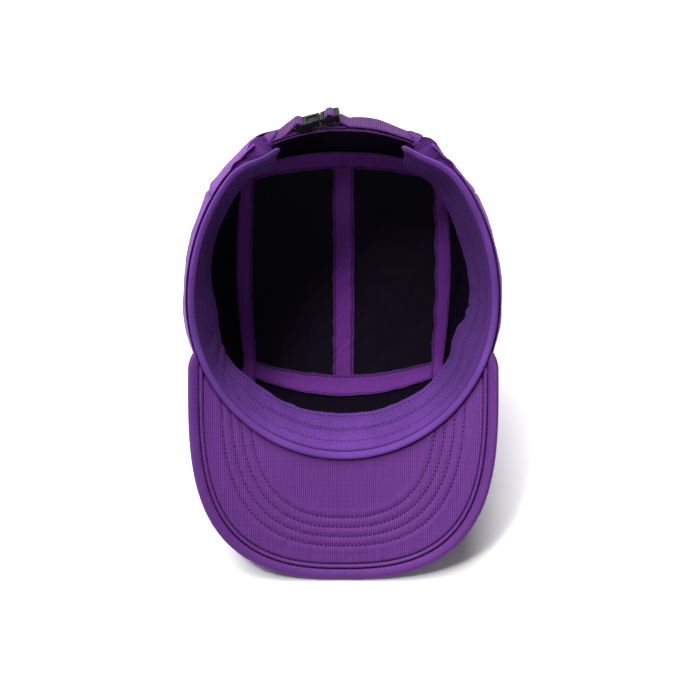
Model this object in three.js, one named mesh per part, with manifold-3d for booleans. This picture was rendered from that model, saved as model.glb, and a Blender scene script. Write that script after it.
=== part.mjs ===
// A five-panel cap with a soft peak, a sweatband, seam tapes and a webbing strap with a side-release
// buckle, lying tipped forward on the edge of its peak and the front seam of its crown.
// Millimetres. The cap is modelled as it is worn, with +Z up through the crown, +Y towards the peak
// and its origin in the plane of the rim at the widest line, and is then tipped over onto +Z.
import * as THREE from 'three';
import { mergeVertices } from 'three/addons/utils/BufferGeometryUtils.js';
import Module from 'manifold-3d';

const wasm = await Module();
wasm.setup();

// Head opening: two half ellipses, drawn flat behind the strap
const rimHalfWidth = 88;
const rimFrontReach = 90;
const rimBackReach = 105;
const rimFlatDepth = 8.5;
const rimFlatHalfWidth = 40;

// Crown
const crownFrontHeight = 92;
const crownBackHeight = 86;
const topHalfWidth = 60;
const topFrontReach = 68;
const topBackReach = 78;
const topFrontBow = 12;
const topBackBow = 9;
const topSideBow = 3;
const domeRise = 7;
const wallSwell = 3.2;
const clothThickness = 1.2;
const frontSeamHalfWidth = 62;
const backSeamHalfWidth = 73;

// Opening over the strap
const archHalfWidth = 49;
const archHeight = 36;
const archPower = 3.2;

// Peak
const peakSideInset = 1.6;
const peakHalfWidth = rimHalfWidth - peakSideInset;
const peakReach = 63.5;
const peakSlope = 15;
const peakArchDrop = 18.5;
const peakThickness = 3.8;
const peakCornerY = 28;
const peakOutlineSidePower = 2.4;
const peakOutlineFrontPower = 3.6;
const peakEndAngle = 72;
const underPanelThickness = 1;
const edgeBandWidth = 7;
const recessStep = 0.5;

// Sweatband
const bandHeight = 33;
const bandThickness = 2;
const bandSideLean = 11;
const bandFrontLean = 15.4;
const bandRollDrop = 4.6;
const bandSideRollDrop = 1.2;
const bandRollThickness = 3.4;
const bandEndHalfWidth = 36;

// Seam tapes
const tapeWidth = 12.6;
const frontTapeExtra = 2.4;
const tapeThickness = 1;
const tapeTuckHeight = 24;

// Strap, its loops and the buckle
const strapWidth = 20;
const strapThickness = 1.3;
const strapRadius = 100;
const strapReach = 95.2;
const strapRise = 1.6;
const strapTilt = 6;
const strapEndHalfWidth = 42.2;
const strapSpread = 0.8;
const loopLength = 9;
const loopWall = 1.2;
const loopHalfSpan = 37;
const buckleLength = 25;
const buckleWidth = 24;
const buckleThickness = 4;
const buckleCentre = -13.5;
const buckleTilt = 8;
const buckleFrameLength = 11;
const buckleBarWidth = 2.6;
const buckleBarThickness = 2;
const buckleSlotWidth = 3;
const buckleCorner = 2;
const buckleRecess = 0.8;

// Clearances
const gap = 0.3;
const pressDepth = 2.4;

// Wall profile from the rim up to the top seam: how far it has leant in, and how far it swells out
const wallProfile = [
  { rise: 0, lean: 0, swell: 0 },
  { rise: 0.12, lean: 0.02, swell: 0.66 },
  { rise: 0.27, lean: 0.08, swell: 1 },
  { rise: 0.45, lean: 0.22, swell: 0.92 },
  { rise: 0.62, lean: 0.42, swell: 0.68 },
  { rise: 0.78, lean: 0.65, swell: 0.4 },
  { rise: 0.9, lean: 0.84, swell: 0.17 },
  { rise: 1, lean: 1, swell: 0 },
];

// Gathers where the strap pulls the rim in: place round the rim in degrees from the front,
// width in degrees, depth as a share of the wall's swell, and how high they run up the wall
const gathers = [
  { place: 139, width: 2.4, depth: -0.28, reach: 0.34 },
  { place: 145, width: 2.4, depth: 0.2, reach: 0.3 },
  { place: 131, width: 3, depth: -0.16, reach: 0.4 },
  { place: -138, width: 3, depth: -0.25, reach: 0.36 },
  { place: -146, width: 2.6, depth: 0.2, reach: 0.3 },
  { place: -96, width: 6, depth: -0.2, reach: 0.5 },
  { place: 88, width: 7, depth: -0.14, reach: 0.5 },
];

// Broad dents and bulges in the soft walls: place in degrees, height share, spread of each, and
// depth as a share of the swell
const dents = [
  { place: 118, height: 0.3, spread: 44, tallness: 0.4, depth: -1.1 },
  { place: -136, height: 0.22, spread: 22, tallness: 0.3, depth: 0.5 },
  { place: -90, height: 0.3, spread: 30, tallness: 0.3, depth: 0.3 },
  { place: -72, height: 0.62, spread: 16, tallness: 0.2, depth: -0.42 },
  { place: 64, height: 0.5, spread: 14, tallness: 0.22, depth: -0.3 },
  { place: 112, height: 0.66, spread: 18, tallness: 0.18, depth: -0.34 },
  { place: -118, height: 0.52, spread: 16, tallness: 0.2, depth: -0.26 },
  { place: 176, height: 0.74, spread: 15, tallness: 0.14, depth: -0.24 },
  { place: 180, height: 0.42, spread: 40, tallness: 0.36, depth: -0.6 },
  { place: 76, height: 0.3, spread: 34, tallness: 0.4, depth: -0.6 },
];

// Cross-section of the sweatband, from the roll at the rim up to its free edge
const bandProfile = [
  { rise: 0, lean: 0.03 },
  { rise: 0.14, lean: 0.05 },
  { rise: 0.36, lean: 0.24 },
  { rise: 0.62, lean: 0.55 },
  { rise: 0.84, lean: 0.84 },
  { rise: 1, lean: 1 },
];

// Waves along the free edge of the sweatband
const bandWaves = [
  { place: -84, width: 9, depth: 0.26 },
  { place: -60, width: 8, depth: -0.16 },
  { place: 70, width: 9, depth: 0.34 },
  { place: 92, width: 12, depth: -0.1 },
  { place: 0, width: 26, depth: 0.08 },
  { place: 112, width: 46, depth: 0.2 },
  { place: -112, width: 46, depth: -0.36 },
];

// Nose of the peak: distance in from its edge, and the depths of its upper and lower faces, as shares
// of its thickness; the first row is where the edge band ends
const peakNose = [
  { inset: null, upper: 0, lower: 1 },
  { inset: 0.5, upper: 0, lower: 1 },
  { inset: 0.17, upper: 0.15, lower: 0.85 },
  { inset: 0, upper: 0.34, lower: 0.66 },
];

const purpleCloth = new THREE.MeshStandardMaterial({ color: 0x6f3a92, roughness: 0.62, metalness: 0 });
const peakCloth = new THREE.MeshStandardMaterial({ color: 0x743c98, roughness: 0.6, metalness: 0 });
const bandCloth = new THREE.MeshStandardMaterial({ color: 0x5d36a0, roughness: 0.8, metalness: 0 });
const tapeCloth = new THREE.MeshStandardMaterial({ color: 0x5a2a78, roughness: 0.7, metalness: 0 });
const webbing = new THREE.MeshStandardMaterial({ color: 0x7c45a2, roughness: 0.75, metalness: 0 });
const blackPlastic = new THREE.MeshStandardMaterial({ color: 0x1d1f24, roughness: 0.45, metalness: 0 });

const radians = THREE.MathUtils.degToRad;
const lerp = THREE.MathUtils.lerp;
const smooth = THREE.MathUtils.smoothstep;
const bell = (x) => Math.exp(-x * x);
const vec = (x, y, z) => new THREE.Vector3(x, y, z);

// Smooth curve through one column of a table, read at a value of its first column
function readTable(rows, key, column, at) {
  const last = rows.length - 1;
  let i = 0;
  while (i < last - 1 && at > rows[i + 1][key]) i += 1;
  const slopeAt = (j) => {
    const a = rows[Math.max(j - 1, 0)];
    const b = rows[Math.min(j + 1, last)];
    return (b[column] - a[column]) / (b[key] - a[key]);
  };
  const from = rows[i];
  const to = rows[i + 1];
  const span = to[key] - from[key];
  const t = THREE.MathUtils.clamp((at - from[key]) / span, 0, 1);
  const t2 = t * t;
  const t3 = t2 * t;
  return (
    (2 * t3 - 3 * t2 + 1) * from[column] +
    (t3 - 2 * t2 + t) * span * slopeAt(i) +
    (3 * t2 - 2 * t3) * to[column] +
    (t3 - t2) * span * slopeAt(i + 1)
  );
}

function steps(count, from, to) {
  return Array.from({ length: count + 1 }, (_, i) => lerp(from, to, i / count));
}

// Closed solid between two grids of points that have the same rows and columns
function slab(upper, lower) {
  const rows = upper.length;
  const columns = upper[0].length;
  const points = [...upper.flat(), ...lower.flat()];
  const top = (i, j) => i * columns + j;
  const bottom = (i, j) => rows * columns + i * columns + j;
  const faces = [];
  const quad = (a, b, c, d) => faces.push(a, b, c, a, c, d);
  for (let i = 0; i < rows - 1; i += 1) {
    for (let j = 0; j < columns - 1; j += 1) {
      quad(top(i, j), top(i + 1, j), top(i + 1, j + 1), top(i, j + 1));
      quad(bottom(i, j), bottom(i, j + 1), bottom(i + 1, j + 1), bottom(i + 1, j));
    }
    quad(top(i + 1, 0), top(i, 0), bottom(i, 0), bottom(i + 1, 0));
    quad(top(i, columns - 1), top(i + 1, columns - 1), bottom(i + 1, columns - 1), bottom(i, columns - 1));
  }
  for (let j = 0; j < columns - 1; j += 1) {
    quad(top(0, j), top(0, j + 1), bottom(0, j + 1), bottom(0, j));
    quad(top(rows - 1, j + 1), top(rows - 1, j), bottom(rows - 1, j), bottom(rows - 1, j + 1));
  }
  let volume = 0;
  for (let i = 0; i < faces.length; i += 3) {
    const [a, b, c] = [points[faces[i]], points[faces[i + 1]], points[faces[i + 2]]];
    volume += a.dot(b.clone().cross(c));
  }
  if (volume < 0) {
    for (let i = 0; i < faces.length; i += 3) [faces[i], faces[i + 1]] = [faces[i + 1], faces[i]];
  }
  const geometry = new THREE.BufferGeometry().setFromPoints(points);
  geometry.setIndex(faces);
  return geometry;
}

function toSolid(geometry) {
  const bare = geometry.clone();
  bare.deleteAttribute('normal');
  bare.deleteAttribute('uv');
  const merged = mergeVertices(bare, 1e-4);
  return new wasm.Manifold(
    new wasm.Mesh({
      numProp: 3,
      vertProperties: merged.attributes.position.array,
      triVerts: new Uint32Array(merged.index.array),
    }),
  );
}

function toGeometry(solid) {
  const mesh = solid.getMesh();
  const geometry = new THREE.BufferGeometry();
  geometry.setAttribute('position', new THREE.BufferAttribute(new Float32Array(mesh.vertProperties), 3));
  geometry.setIndex(Array.from(mesh.triVerts));
  return geometry;
}

function piece(name, geometry, material) {
  const mesh = new THREE.Mesh(geometry, material);
  mesh.name = name;
  return mesh;
}

// Rim oval at an angle from the front, positive towards +X, drawn in by a depth
function rimPoint(angle, depth) {
  const cosine = Math.cos(angle);
  const x = Math.sin(angle) * (rimHalfWidth - depth);
  const y = cosine * ((cosine > 0 ? rimFrontReach : rimBackReach) - depth);
  const flat = Math.max(1 - (x / rimFlatHalfWidth) ** 2, 0) ** 2;
  return vec(x, y + (cosine > 0 ? 0 : rimFlatDepth * flat), 0);
}

function rimOutward(angle) {
  const turn = 0.02;
  const along = rimPoint(angle + turn, 0).sub(rimPoint(angle - turn, 0)).normalize();
  return vec(-along.y, along.x, 0);
}

// Angle at which the front or back half of the rim passes a distance from the centre line
function rimAngle(halfWidth, isFront) {
  const angle = Math.asin(halfWidth / rimHalfWidth);
  return isFront ? angle : Math.PI - angle;
}

const frontSeamAngle = rimAngle(frontSeamHalfWidth, true);
const backSeamAngle = rimAngle(backSeamHalfWidth, false);

// Corners of the flat top, where the long side seams meet the front and back seams
const topCorner = {
  frontRight: (depth) => vec(topHalfWidth - depth, topFrontReach - topFrontBow - depth, 0),
  backRight: (depth) => vec(topHalfWidth - depth, topBackBow - topBackReach + depth, 0),
  frontLeft: (depth) => vec(depth - topHalfWidth, topFrontReach - topFrontBow - depth, 0),
  backLeft: (depth) => vec(depth - topHalfWidth, topBackBow - topBackReach + depth, 0),
};

// The four walls, each from one corner seam to the next, going round from the front left
const walls = {
  front: {
    angles: [-frontSeamAngle, frontSeamAngle],
    corners: ['frontLeft', 'frontRight'],
    bow: topFrontBow,
    outward: vec(0, 1, 0),
  },
  right: {
    angles: [frontSeamAngle, backSeamAngle],
    corners: ['frontRight', 'backRight'],
    bow: topSideBow,
    outward: vec(1, 0, 0),
  },
  back: {
    angles: [backSeamAngle, 2 * Math.PI - backSeamAngle],
    corners: ['backRight', 'backLeft'],
    bow: topBackBow,
    outward: vec(0, -1, 0),
  },
  left: {
    angles: [-backSeamAngle, -frontSeamAngle],
    corners: ['backLeft', 'frontLeft'],
    bow: topSideBow,
    outward: vec(-1, 0, 0),
  },
};

function topEdgeHeight(y) {
  return lerp(crownBackHeight, crownFrontHeight, (y + topBackReach) / (topBackReach + topFrontReach));
}

function topEdge(wall, u, depth) {
  const { corners, bow, outward } = walls[wall];
  const point = topCorner[corners[0]](depth).lerp(topCorner[corners[1]](depth), u);
  return point.addScaledVector(outward, 4 * u * (1 - u) * bow);
}

const degreesBetween = (angle, place) => {
  const turn = THREE.MathUtils.radToDeg(angle) - place;
  return turn - 360 * Math.round(turn / 360);
};

function clothRelief(angle, rise) {
  const gathered = gathers.map(
    (g) => g.depth * bell(degreesBetween(angle, g.place) / g.width) * bell(rise / g.reach),
  );
  const dented = dents.map(
    (d) => d.depth * bell(degreesBetween(angle, d.place) / d.spread) * bell((rise - d.height) / d.tallness),
  );
  const total = (shares) => shares.reduce((sum, share) => sum + share, 0);
  const relief = total(gathered) * smooth(rise, 0, 0.08) + total(dented) * smooth(rise, 0.02, 0.36);
  return relief * smooth(1 - rise, 0, 0.12);
}

// Unpressed point of a wall: u along it, rise from the rim to the top seam, depth in from the outside
function freeWallPoint(wall, u, rise, depth) {
  const { angles } = walls[wall];
  const angle = lerp(angles[0], angles[1], u);
  const top = topEdge(wall, u, depth);
  const point = rimPoint(angle, depth).lerp(top, readTable(wallProfile, 'rise', 'lean', rise));
  const swell = readTable(wallProfile, 'rise', 'swell', rise) + clothRelief(angle, rise);
  point.addScaledVector(rimOutward(angle), wallSwell * swell);
  point.z = (topEdgeHeight(top.y) - depth) * rise;
  return point;
}

// Unpressed point of the top: across from left to right, and along from the back to the front
function freeTopPoint(across, along, depth) {
  const edges = {
    left: topEdge('left', along, depth),
    right: topEdge('right', 1 - along, depth),
    back: topEdge('back', 1 - across, depth),
    front: topEdge('front', across, depth),
  };
  const corner = (name) => topCorner[name](depth);
  const sides = edges.left.lerp(edges.right, across);
  const ends = edges.back.lerp(edges.front, along);
  const backLine = corner('backLeft').lerp(corner('backRight'), across);
  const frontLine = corner('frontLeft').lerp(corner('frontRight'), across);
  const point = sides.add(ends).sub(backLine.lerp(frontLine, along));
  const dome = 16 * across * (1 - across) * along * (1 - along);
  point.z = topEdgeHeight(point.y) - depth + domeRise * dome ** 0.8;
  return point;
}

// Outline of the peak from its front (0) to its corner (1), and its curved surface
function peakOutline(share) {
  const turn = (share * Math.PI) / 2;
  const front = rimFrontReach + peakReach;
  const side = Math.abs(Math.sin(turn)) ** (2 / peakOutlineSidePower);
  const ahead = Math.max(Math.cos(turn), 0) ** (2 / peakOutlineFrontPower);
  return vec(Math.sign(share) * peakHalfWidth * side, peakCornerY + (front - peakCornerY) * ahead, 0);
}

function peakHeight(x, y) {
  const across = x / peakHalfWidth;
  return (rimFrontReach - y) * Math.tan(radians(peakSlope)) - peakArchDrop * across * across;
}

// Point of the peak: share round it (-1 to 1), reach from its root (0) to its edge (1), depth below its top
function peakPoint(share, reach, depth) {
  const root = rimPoint(share * radians(peakEndAngle), clothThickness);
  const edge = peakOutline(share);
  const rootHeight = peakHeight(root.x, root.y);
  const point = root.lerp(edge, reach);
  point.z = peakHeight(point.x, point.y) - rootHeight * (1 - reach) ** 2 - gap - depth;
  return point;
}

// Reach that lies a distance in from the edge; near the corners, where the peak runs out, a fixed share of it
const reachAtEdge = (share, inset) => {
  const length = peakPoint(share, 0, 0).distanceTo(peakPoint(share, 1, 0));
  const room = Math.min(0.5 * length, edgeBandWidth);
  return 1 - (inset / edgeBandWidth) * (room / length);
};

const noseReaches = (share) =>
  peakNose.map(({ inset }) => reachAtEdge(share, inset === null ? edgeBandWidth : inset * peakThickness));

// Direction that is down when the cap lies tipped, and how far down the ground is along it
function findGround() {
  const crown = [];
  for (const across of steps(12, 0, 1)) {
    for (const rise of steps(6, 0.7, 1)) crown.push(freeWallPoint('front', across, rise, 0));
    for (const along of steps(6, 0.7, 1)) crown.push(freeTopPoint(across, along, 0));
  }
  const peak = steps(24, -1, 1).flatMap((share) =>
    noseReaches(share).flatMap((reach, i) => [
      peakPoint(share, reach, peakNose[i].upper * peakThickness),
      peakPoint(share, reach, peakNose[i].lower * peakThickness),
    ]),
  );
  const farthest = (points, down) => Math.max(...points.map((p) => p.dot(down)));
  const downAt = (lean) => vec(0, Math.cos(lean), Math.sin(lean));
  let low = 0;
  let high = Math.PI / 2;
  for (let i = 0; i < 40; i += 1) {
    const lean = (low + high) / 2;
    const down = downAt(lean);
    if (farthest(crown, down) - pressDepth > farthest(peak, down)) high = lean;
    else low = lean;
  }
  const down = downAt(low);
  return { lean: low, down, distance: farthest(peak, down) };
}

const ground = findGround();

// Cloth that would reach through the ground is pressed flat on it, each layer at its own depth
function press(point, depth) {
  const below = point.dot(ground.down) - (ground.distance - depth);
  return below > 0 ? point.addScaledVector(ground.down, -below) : point;
}

const wallPoint = (wall, u, rise, depth) => press(freeWallPoint(wall, u, rise, depth), depth);
const topPoint = (across, along, depth) => press(freeTopPoint(across, along, depth), depth);

function grid(rowValues, columnValues, pointAt) {
  return rowValues.map((row) => columnValues.map((column) => pointAt(row, column)));
}

// Shares of a wall's or the top's length that leave half a gap at each seam
const wallSeamShare = (wall) => (0.6 * gap) / wallPoint(wall, 0, 0.5, 0).distanceTo(wallPoint(wall, 1, 0.5, 0));
const topSeamShare = gap / 2 / topPoint(0, 0.5, 0).distanceTo(topPoint(1, 0.5, 0));
const riseSeamShare = gap / crownBackHeight;
const pressedShare = (1.9 * pressDepth) / crownBackHeight;

// The last row of a panel is a narrow one, to carry the cloth that is pressed flat beside the seam
function wallPanel(wall, columns, rows) {
  const margin = wallSeamShare(wall);
  const around = steps(columns, margin, 1 - margin);
  const up = [...steps(rows - 1, 0, 1 - pressedShare), 1 - riseSeamShare];
  const layer = (depth) => grid(around, up, (u, rise) => wallPoint(wall, u, rise, depth));
  return slab(layer(0), layer(clothThickness));
}

function topPanel(from, to) {
  const across = steps(8, from, to);
  const along = [...steps(13, topSeamShare, 1 - pressedShare / 3), 1 - topSeamShare];
  const layer = (depth) => grid(across, along, (a, b) => topPoint(a, b, depth));
  return slab(layer(0), layer(clothThickness));
}

function backPanel() {
  const arch = steps(28, 0, Math.PI).map((turn) => {
    const across = Math.sign(Math.cos(turn)) * Math.abs(Math.cos(turn)) ** (2 / archPower);
    return new THREE.Vector2(archHalfWidth * across, archHeight * Math.sin(turn) ** (2 / archPower));
  });
  const below = [new THREE.Vector2(-archHalfWidth, -archHeight), new THREE.Vector2(archHalfWidth, -archHeight)];
  const outline = new THREE.Shape([...arch, ...below]);
  const cutter = new THREE.ExtrudeGeometry(outline, { depth: 2 * rimBackReach, bevelEnabled: false });
  cutter.rotateX(Math.PI / 2);
  return toGeometry(toSolid(wallPanel('back', 22, 8)).subtract(toSolid(cutter)));
}

// Strip of tape that follows three guide lines: its two edges and the seam between them
function tape(stations, guide) {
  const depth = clothThickness + 2 * gap;
  const lines = [0, 1, 2].map((line) => stations.map((station) => guide(station, depth)[line]));
  for (let pass = 0; pass < 3; pass += 1) {
    for (const line of lines) {
      const before = line.map((p) => p.clone());
      for (let i = 1; i < line.length - 1; i += 1) {
        line[i] = before[i - 1].clone().add(before[i + 1]).multiplyScalar(0.25).addScaledVector(before[i], 0.5);
      }
    }
  }
  const [first, seam, second] = lines;
  const outer = stations.map((_, i) => {
    const middle = first[i].clone().add(second[i]).multiplyScalar(0.25).addScaledVector(seam[i], 0.5);
    const between = (edge) => edge.clone().add(middle).multiplyScalar(0.5);
    return [first[i], between(first[i]), middle, between(second[i]), second[i]];
  });
  const inner = outer.map((row, i) => {
    const ahead = outer[Math.min(i + 1, outer.length - 1)][2];
    const behind = outer[Math.max(i - 1, 0)][2];
    const along = ahead.clone().sub(behind);
    return row.map((point, j) => {
      const across = row[Math.min(j + 1, 4)].clone().sub(row[Math.max(j - 1, 0)]);
      const normal = along.clone().cross(across).normalize();
      if (normal.dot(vec(0, 0, crownBackHeight / 2).sub(point)) < 0) normal.negate();
      return point.clone().addScaledVector(normal, tapeThickness);
    });
  });
  return slab(outer, inner);
}

const half = tapeWidth / 2;
const tuckRise = tapeTuckHeight / crownBackHeight;
const wallLength = (wall, rise) => {
  const points = steps(12, 0, 1).map((u) => wallPoint(wall, u, rise, clothThickness));
  return points.slice(1).reduce((sum, p, i) => sum + p.distanceTo(points[i]), 0);
};
const riseLength = wallPoint('right', 0.5, 1, 0).distanceTo(wallPoint('right', 0.5, 0.9, 0)) * 10;
const alongWall = (wall, length) => length / wallLength(wall, 1);
const alongTop = (length) => length / topPoint(0.5, 0, 0).distanceTo(topPoint(0.5, 1, 0));
const acrossTop = (length) => length / topPoint(0, 0.5, 0).distanceTo(topPoint(1, 0.5, 0));
const downWall = (length) => length / riseLength;

// Side seam: up the front corner of the crown, then back along the edge of the top
function sideTape(side) {
  const isRight = side === 'right';
  const endShare = 1 - alongWall(side, half + gap);
  const climb = steps(8, tuckRise, 1).map((rise) => ({ u: 0, rise }));
  const run = steps(20, 0, endShare).slice(1).map((u) => ({ u, rise: 1 }));
  const onWall = (u) => (isRight ? u : 1 - u);
  const onFront = alongWall('front', half);
  const guide = ({ u, rise }, depth) => {
    const wallU = onWall(Math.max(u, alongWall(side, half)));
    const onSide = wallPoint(side, wallU, Math.min(rise, 1 - downWall(half)), depth);
    const seam = wallPoint(side, onWall(u), rise, depth);
    const inside =
      rise < 1
        ? wallPoint('front', isRight ? 1 - onFront : onFront, rise, depth)
        : topPoint(isRight ? 1 - acrossTop(half) : acrossTop(half), 1 - u, depth);
    return [onSide, seam, inside];
  };
  return tape([...climb, ...run], guide);
}

// Back seam: up one back corner, across the back of the top and down the other corner
function backTape() {
  const corner = alongWall('back', half);
  const climb = steps(7, tuckRise, 1).map((rise) => ({ u: 0, rise }));
  const run = steps(18, 0, 1).slice(1, -1).map((u) => ({ u, rise: 1 }));
  const descent = steps(7, 1, tuckRise).map((rise) => ({ u: 1, rise }));
  const guide = ({ u, rise }, depth) => {
    const wallU = THREE.MathUtils.clamp(u, corner, 1 - corner);
    const onBack = wallPoint('back', wallU, Math.min(rise, 1 - downWall(half)), depth);
    const seam = wallPoint('back', u, rise, depth);
    if (rise < 1) {
      const side = u < 0.5 ? 'right' : 'left';
      const sideU = u < 0.5 ? 1 - alongWall('right', half) : alongWall('left', half);
      return [onBack, seam, wallPoint(side, sideU, rise, depth)];
    }
    const across = THREE.MathUtils.clamp(1 - u, acrossTop(half), 1 - acrossTop(half));
    return [onBack, seam, topPoint(across, alongTop(half), depth)];
  };
  return tape([...climb, ...run, ...descent], guide);
}

function frontTape() {
  const margin = alongWall('front', half + 4 * gap);
  const guide = (u, depth) => [
    wallPoint('front', u, 1 - downWall(half), depth),
    wallPoint('front', u, 1, depth),
    topPoint(u, 1 - alongTop(half + frontTapeExtra), depth),
  ];
  return tape(steps(16, margin, 1 - margin), guide);
}

function centreTape() {
  const backMargin = alongTop(half + 4 * gap);
  const frontMargin = backMargin + alongTop(frontTapeExtra);
  const reach = acrossTop(half);
  const guide = (along, depth) => [-1, 0, 1].map((side) => topPoint(0.5 + side * reach, along, depth));
  return tape(steps(12, backMargin, 1 - frontMargin), guide);
}

// Sweatband: a strip from one side of the strap opening round the front to the other, leaning inwards
function sweatband() {
  const endAngle = rimAngle(bandEndHalfWidth, false);
  const loopRoom = 2 * loopWall + 2 * strapThickness + 5.5 * gap;
  const around = steps(52, -endAngle, endAngle);
  const dropAt = (angle) => lerp(bandSideRollDrop, bandRollDrop, smooth(Math.cos(angle), 0.1, 0.45));
  const leanAt = (angle) => {
    const front = Math.max(Math.cos(angle), 0) ** 2;
    const waves = bandWaves.map((w) => w.depth * bell(degreesBetween(angle, w.place) / w.width));
    return lerp(bandSideLean, bandFrontLean, front) * (1 + waves.reduce((sum, wave) => sum + wave, 0));
  };
  const bandPoint = (angle, rise, across) => {
    const atEnd = smooth(Math.abs(angle), endAngle - 0.42, endAngle - 0.06);
    const lean = readTable(bandProfile, 'rise', 'lean', rise) * leanAt(angle);
    const roll = (bandRollThickness - bandThickness) * smooth(1 - rise, 0.84, 1) * (1 - 0.7 * atEnd);
    const inset = clothThickness + gap + loopRoom * atEnd;
    const depth = inset + across * (bandThickness + roll);
    const point = rimPoint(angle, depth);
    point.addScaledVector(rimOutward(angle), -lean);
    point.z = lerp(-dropAt(angle), bandHeight, rise);
    return point;
  };
  const up = [0, 0.05, 0.13, 0.36, 0.66, 1];
  const tuck = (rise) => (rise === 0 ? 0.24 : 0);
  const outer = grid(around, up, (angle, rise) => bandPoint(angle, rise, tuck(rise)));
  const inner = grid(around, up, (angle, rise) => bandPoint(angle, rise, 1 - tuck(rise)));
  return slab(outer, inner);
}

// Peak: its cloth-covered board, thinner below where the under panel is let in
function peak() {
  const floor = peakThickness - underPanelThickness - gap;
  const around = steps(36, -1, 1);
  const strip = (share, side) => {
    const inner = steps(4, 0, reachAtEdge(share, edgeBandWidth + recessStep));
    const nose = noseReaches(share).map((reach, i) => peakPoint(share, reach, peakNose[i][side] * peakThickness));
    return [...inner.map((reach) => peakPoint(share, reach, side === 'upper' ? 0 : floor)), ...nose];
  };
  return slab(around.map((share) => strip(share, 'upper')), around.map((share) => strip(share, 'lower')));
}

function underPanel() {
  const endShare = 0.92;
  const around = steps(34, -endShare, endShare);
  const layer = (depth) =>
    around.map((share) => {
      const edge = reachAtEdge(share, edgeBandWidth + recessStep + 4 * gap);
      return steps(4, 0, edge).map((reach) => peakPoint(share, reach, depth));
    });
  return slab(layer(peakThickness - underPanelThickness), layer(peakThickness));
}

// The strap and its fittings are drawn flat, as seen from below the rim, and raised to the webbing's width.
// In that drawing x runs across the cap and y outwards from the strap's own middle.
function raise(shape, height) {
  return new THREE.ExtrudeGeometry(shape, { depth: height, bevelEnabled: false, curveSegments: 3 });
}

const strapPoint = (x, outward) => {
  const turn = Math.asin(x / strapRadius);
  const radius = strapRadius + outward;
  return new THREE.Vector2(Math.sin(turn) * radius, Math.cos(turn) * radius - strapRadius);
};

// Outline of a webbing whose middle line is given as points of the drawing
function webbingShape(line) {
  const side = (sign) =>
    line.map((point, i) => {
      const before = line[Math.max(i - 1, 0)];
      const after = line[Math.min(i + 1, line.length - 1)];
      const along = after.clone().sub(before).normalize();
      const across = new THREE.Vector2(-along.y, along.x).multiplyScalar((sign * strapThickness) / 2);
      return point.clone().add(across);
    });
  return new THREE.Shape([...side(1), ...side(-1).reverse()]);
}

function innerStrap() {
  const line = steps(20, -strapEndHalfWidth, strapEndHalfWidth).map((x) => strapPoint(x, 0));
  return raise(webbingShape(line), strapWidth);
}

// Frame of the buckle in the drawing: its origin at the buckle's middle, x towards its adjuster
const buckleLift =
  strapThickness / 2 + 2 * gap + buckleThickness / 2 + Math.sin(radians(buckleTilt)) * (buckleLength / 2);
const buckleTurn = -Math.asin(buckleCentre / strapRadius) + radians(buckleTilt);
const fromBuckle = (x, y) => {
  const origin = strapPoint(buckleCentre, buckleLift);
  return new THREE.Vector2(x, y).rotateAround(new THREE.Vector2(0, 0), buckleTurn).add(origin);
};

const adjusterBar = buckleLength / 2 - buckleFrameLength / 2;
const anchorBar = -buckleLength / 2 + buckleBarWidth / 2;
const wrapRadius = Math.hypot(buckleBarWidth, buckleBarThickness) / 2 + gap + strapThickness / 2;
const layerSpacing = strapThickness + gap;

// Webbing round a bar of the buckle, between two turns in shares of half a circle
function wrapBar(bar, from, to) {
  return steps(8, from, to).map((share) => {
    const turn = share * Math.PI;
    return fromBuckle(bar + Math.cos(turn) * wrapRadius, Math.sin(turn) * wrapRadius);
  });
}

// Webbing from a loop to the buckle, under its end, up over its bar and down again
function adjusterStrap() {
  const run = steps(13, strapEndHalfWidth, 3).map((x) => {
    const nearBuckle = smooth(strapEndHalfWidth - x, 10, 38);
    return strapPoint(x, layerSpacing + strapSpread * nearBuckle);
  });
  const below = -(buckleThickness + strapThickness) / 2 - gap;
  const underEnd = [1, 0.3].map((share) => fromBuckle(adjusterBar + wrapRadius + share * strapWidth * 0.14, below));
  return raise(webbingShape([...run, ...underEnd, ...wrapBar(adjusterBar, -0.04, 1.1)]), strapWidth);
}

function anchorStrap() {
  const run = steps(7, -strapEndHalfWidth, -30).map((x) => {
    const nearBuckle = smooth(strapEndHalfWidth + x, 8, 18);
    return strapPoint(x, layerSpacing + strapSpread * nearBuckle);
  });
  return raise(webbingShape([...run, ...wrapBar(anchorBar, 0.78, -0.08)]), strapWidth);
}

function roundedBox(length, width, corner) {
  const [x, y] = [length / 2, width / 2];
  const shape = new THREE.Shape();
  shape.moveTo(-x + corner, -y);
  shape.lineTo(x - corner, -y);
  shape.absarc(x - corner, -y + corner, corner, -Math.PI / 2, 0, false);
  shape.lineTo(x, y - corner);
  shape.absarc(x - corner, y - corner, corner, 0, Math.PI / 2, false);
  shape.lineTo(-x + corner, y);
  shape.absarc(-x + corner, y - corner, corner, Math.PI / 2, Math.PI, false);
  shape.lineTo(-x, -y + corner);
  shape.absarc(-x + corner, -y + corner, corner, Math.PI, 1.5 * Math.PI, false);
  return shape;
}

function block(length, thickness, width, x, y) {
  const shape = roundedBox(length, width, Math.min(buckleCorner, length / 3));
  const geometry = new THREE.ExtrudeGeometry(shape, { depth: thickness, bevelEnabled: false, curveSegments: 4 });
  geometry.translate(x, 0, y - thickness / 2);
  return toSolid(geometry);
}

function slot(length, thickness, width, x, y) {
  const geometry = new THREE.BoxGeometry(length, width, thickness);
  geometry.translate(x, 0, y);
  return toSolid(geometry);
}

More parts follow.
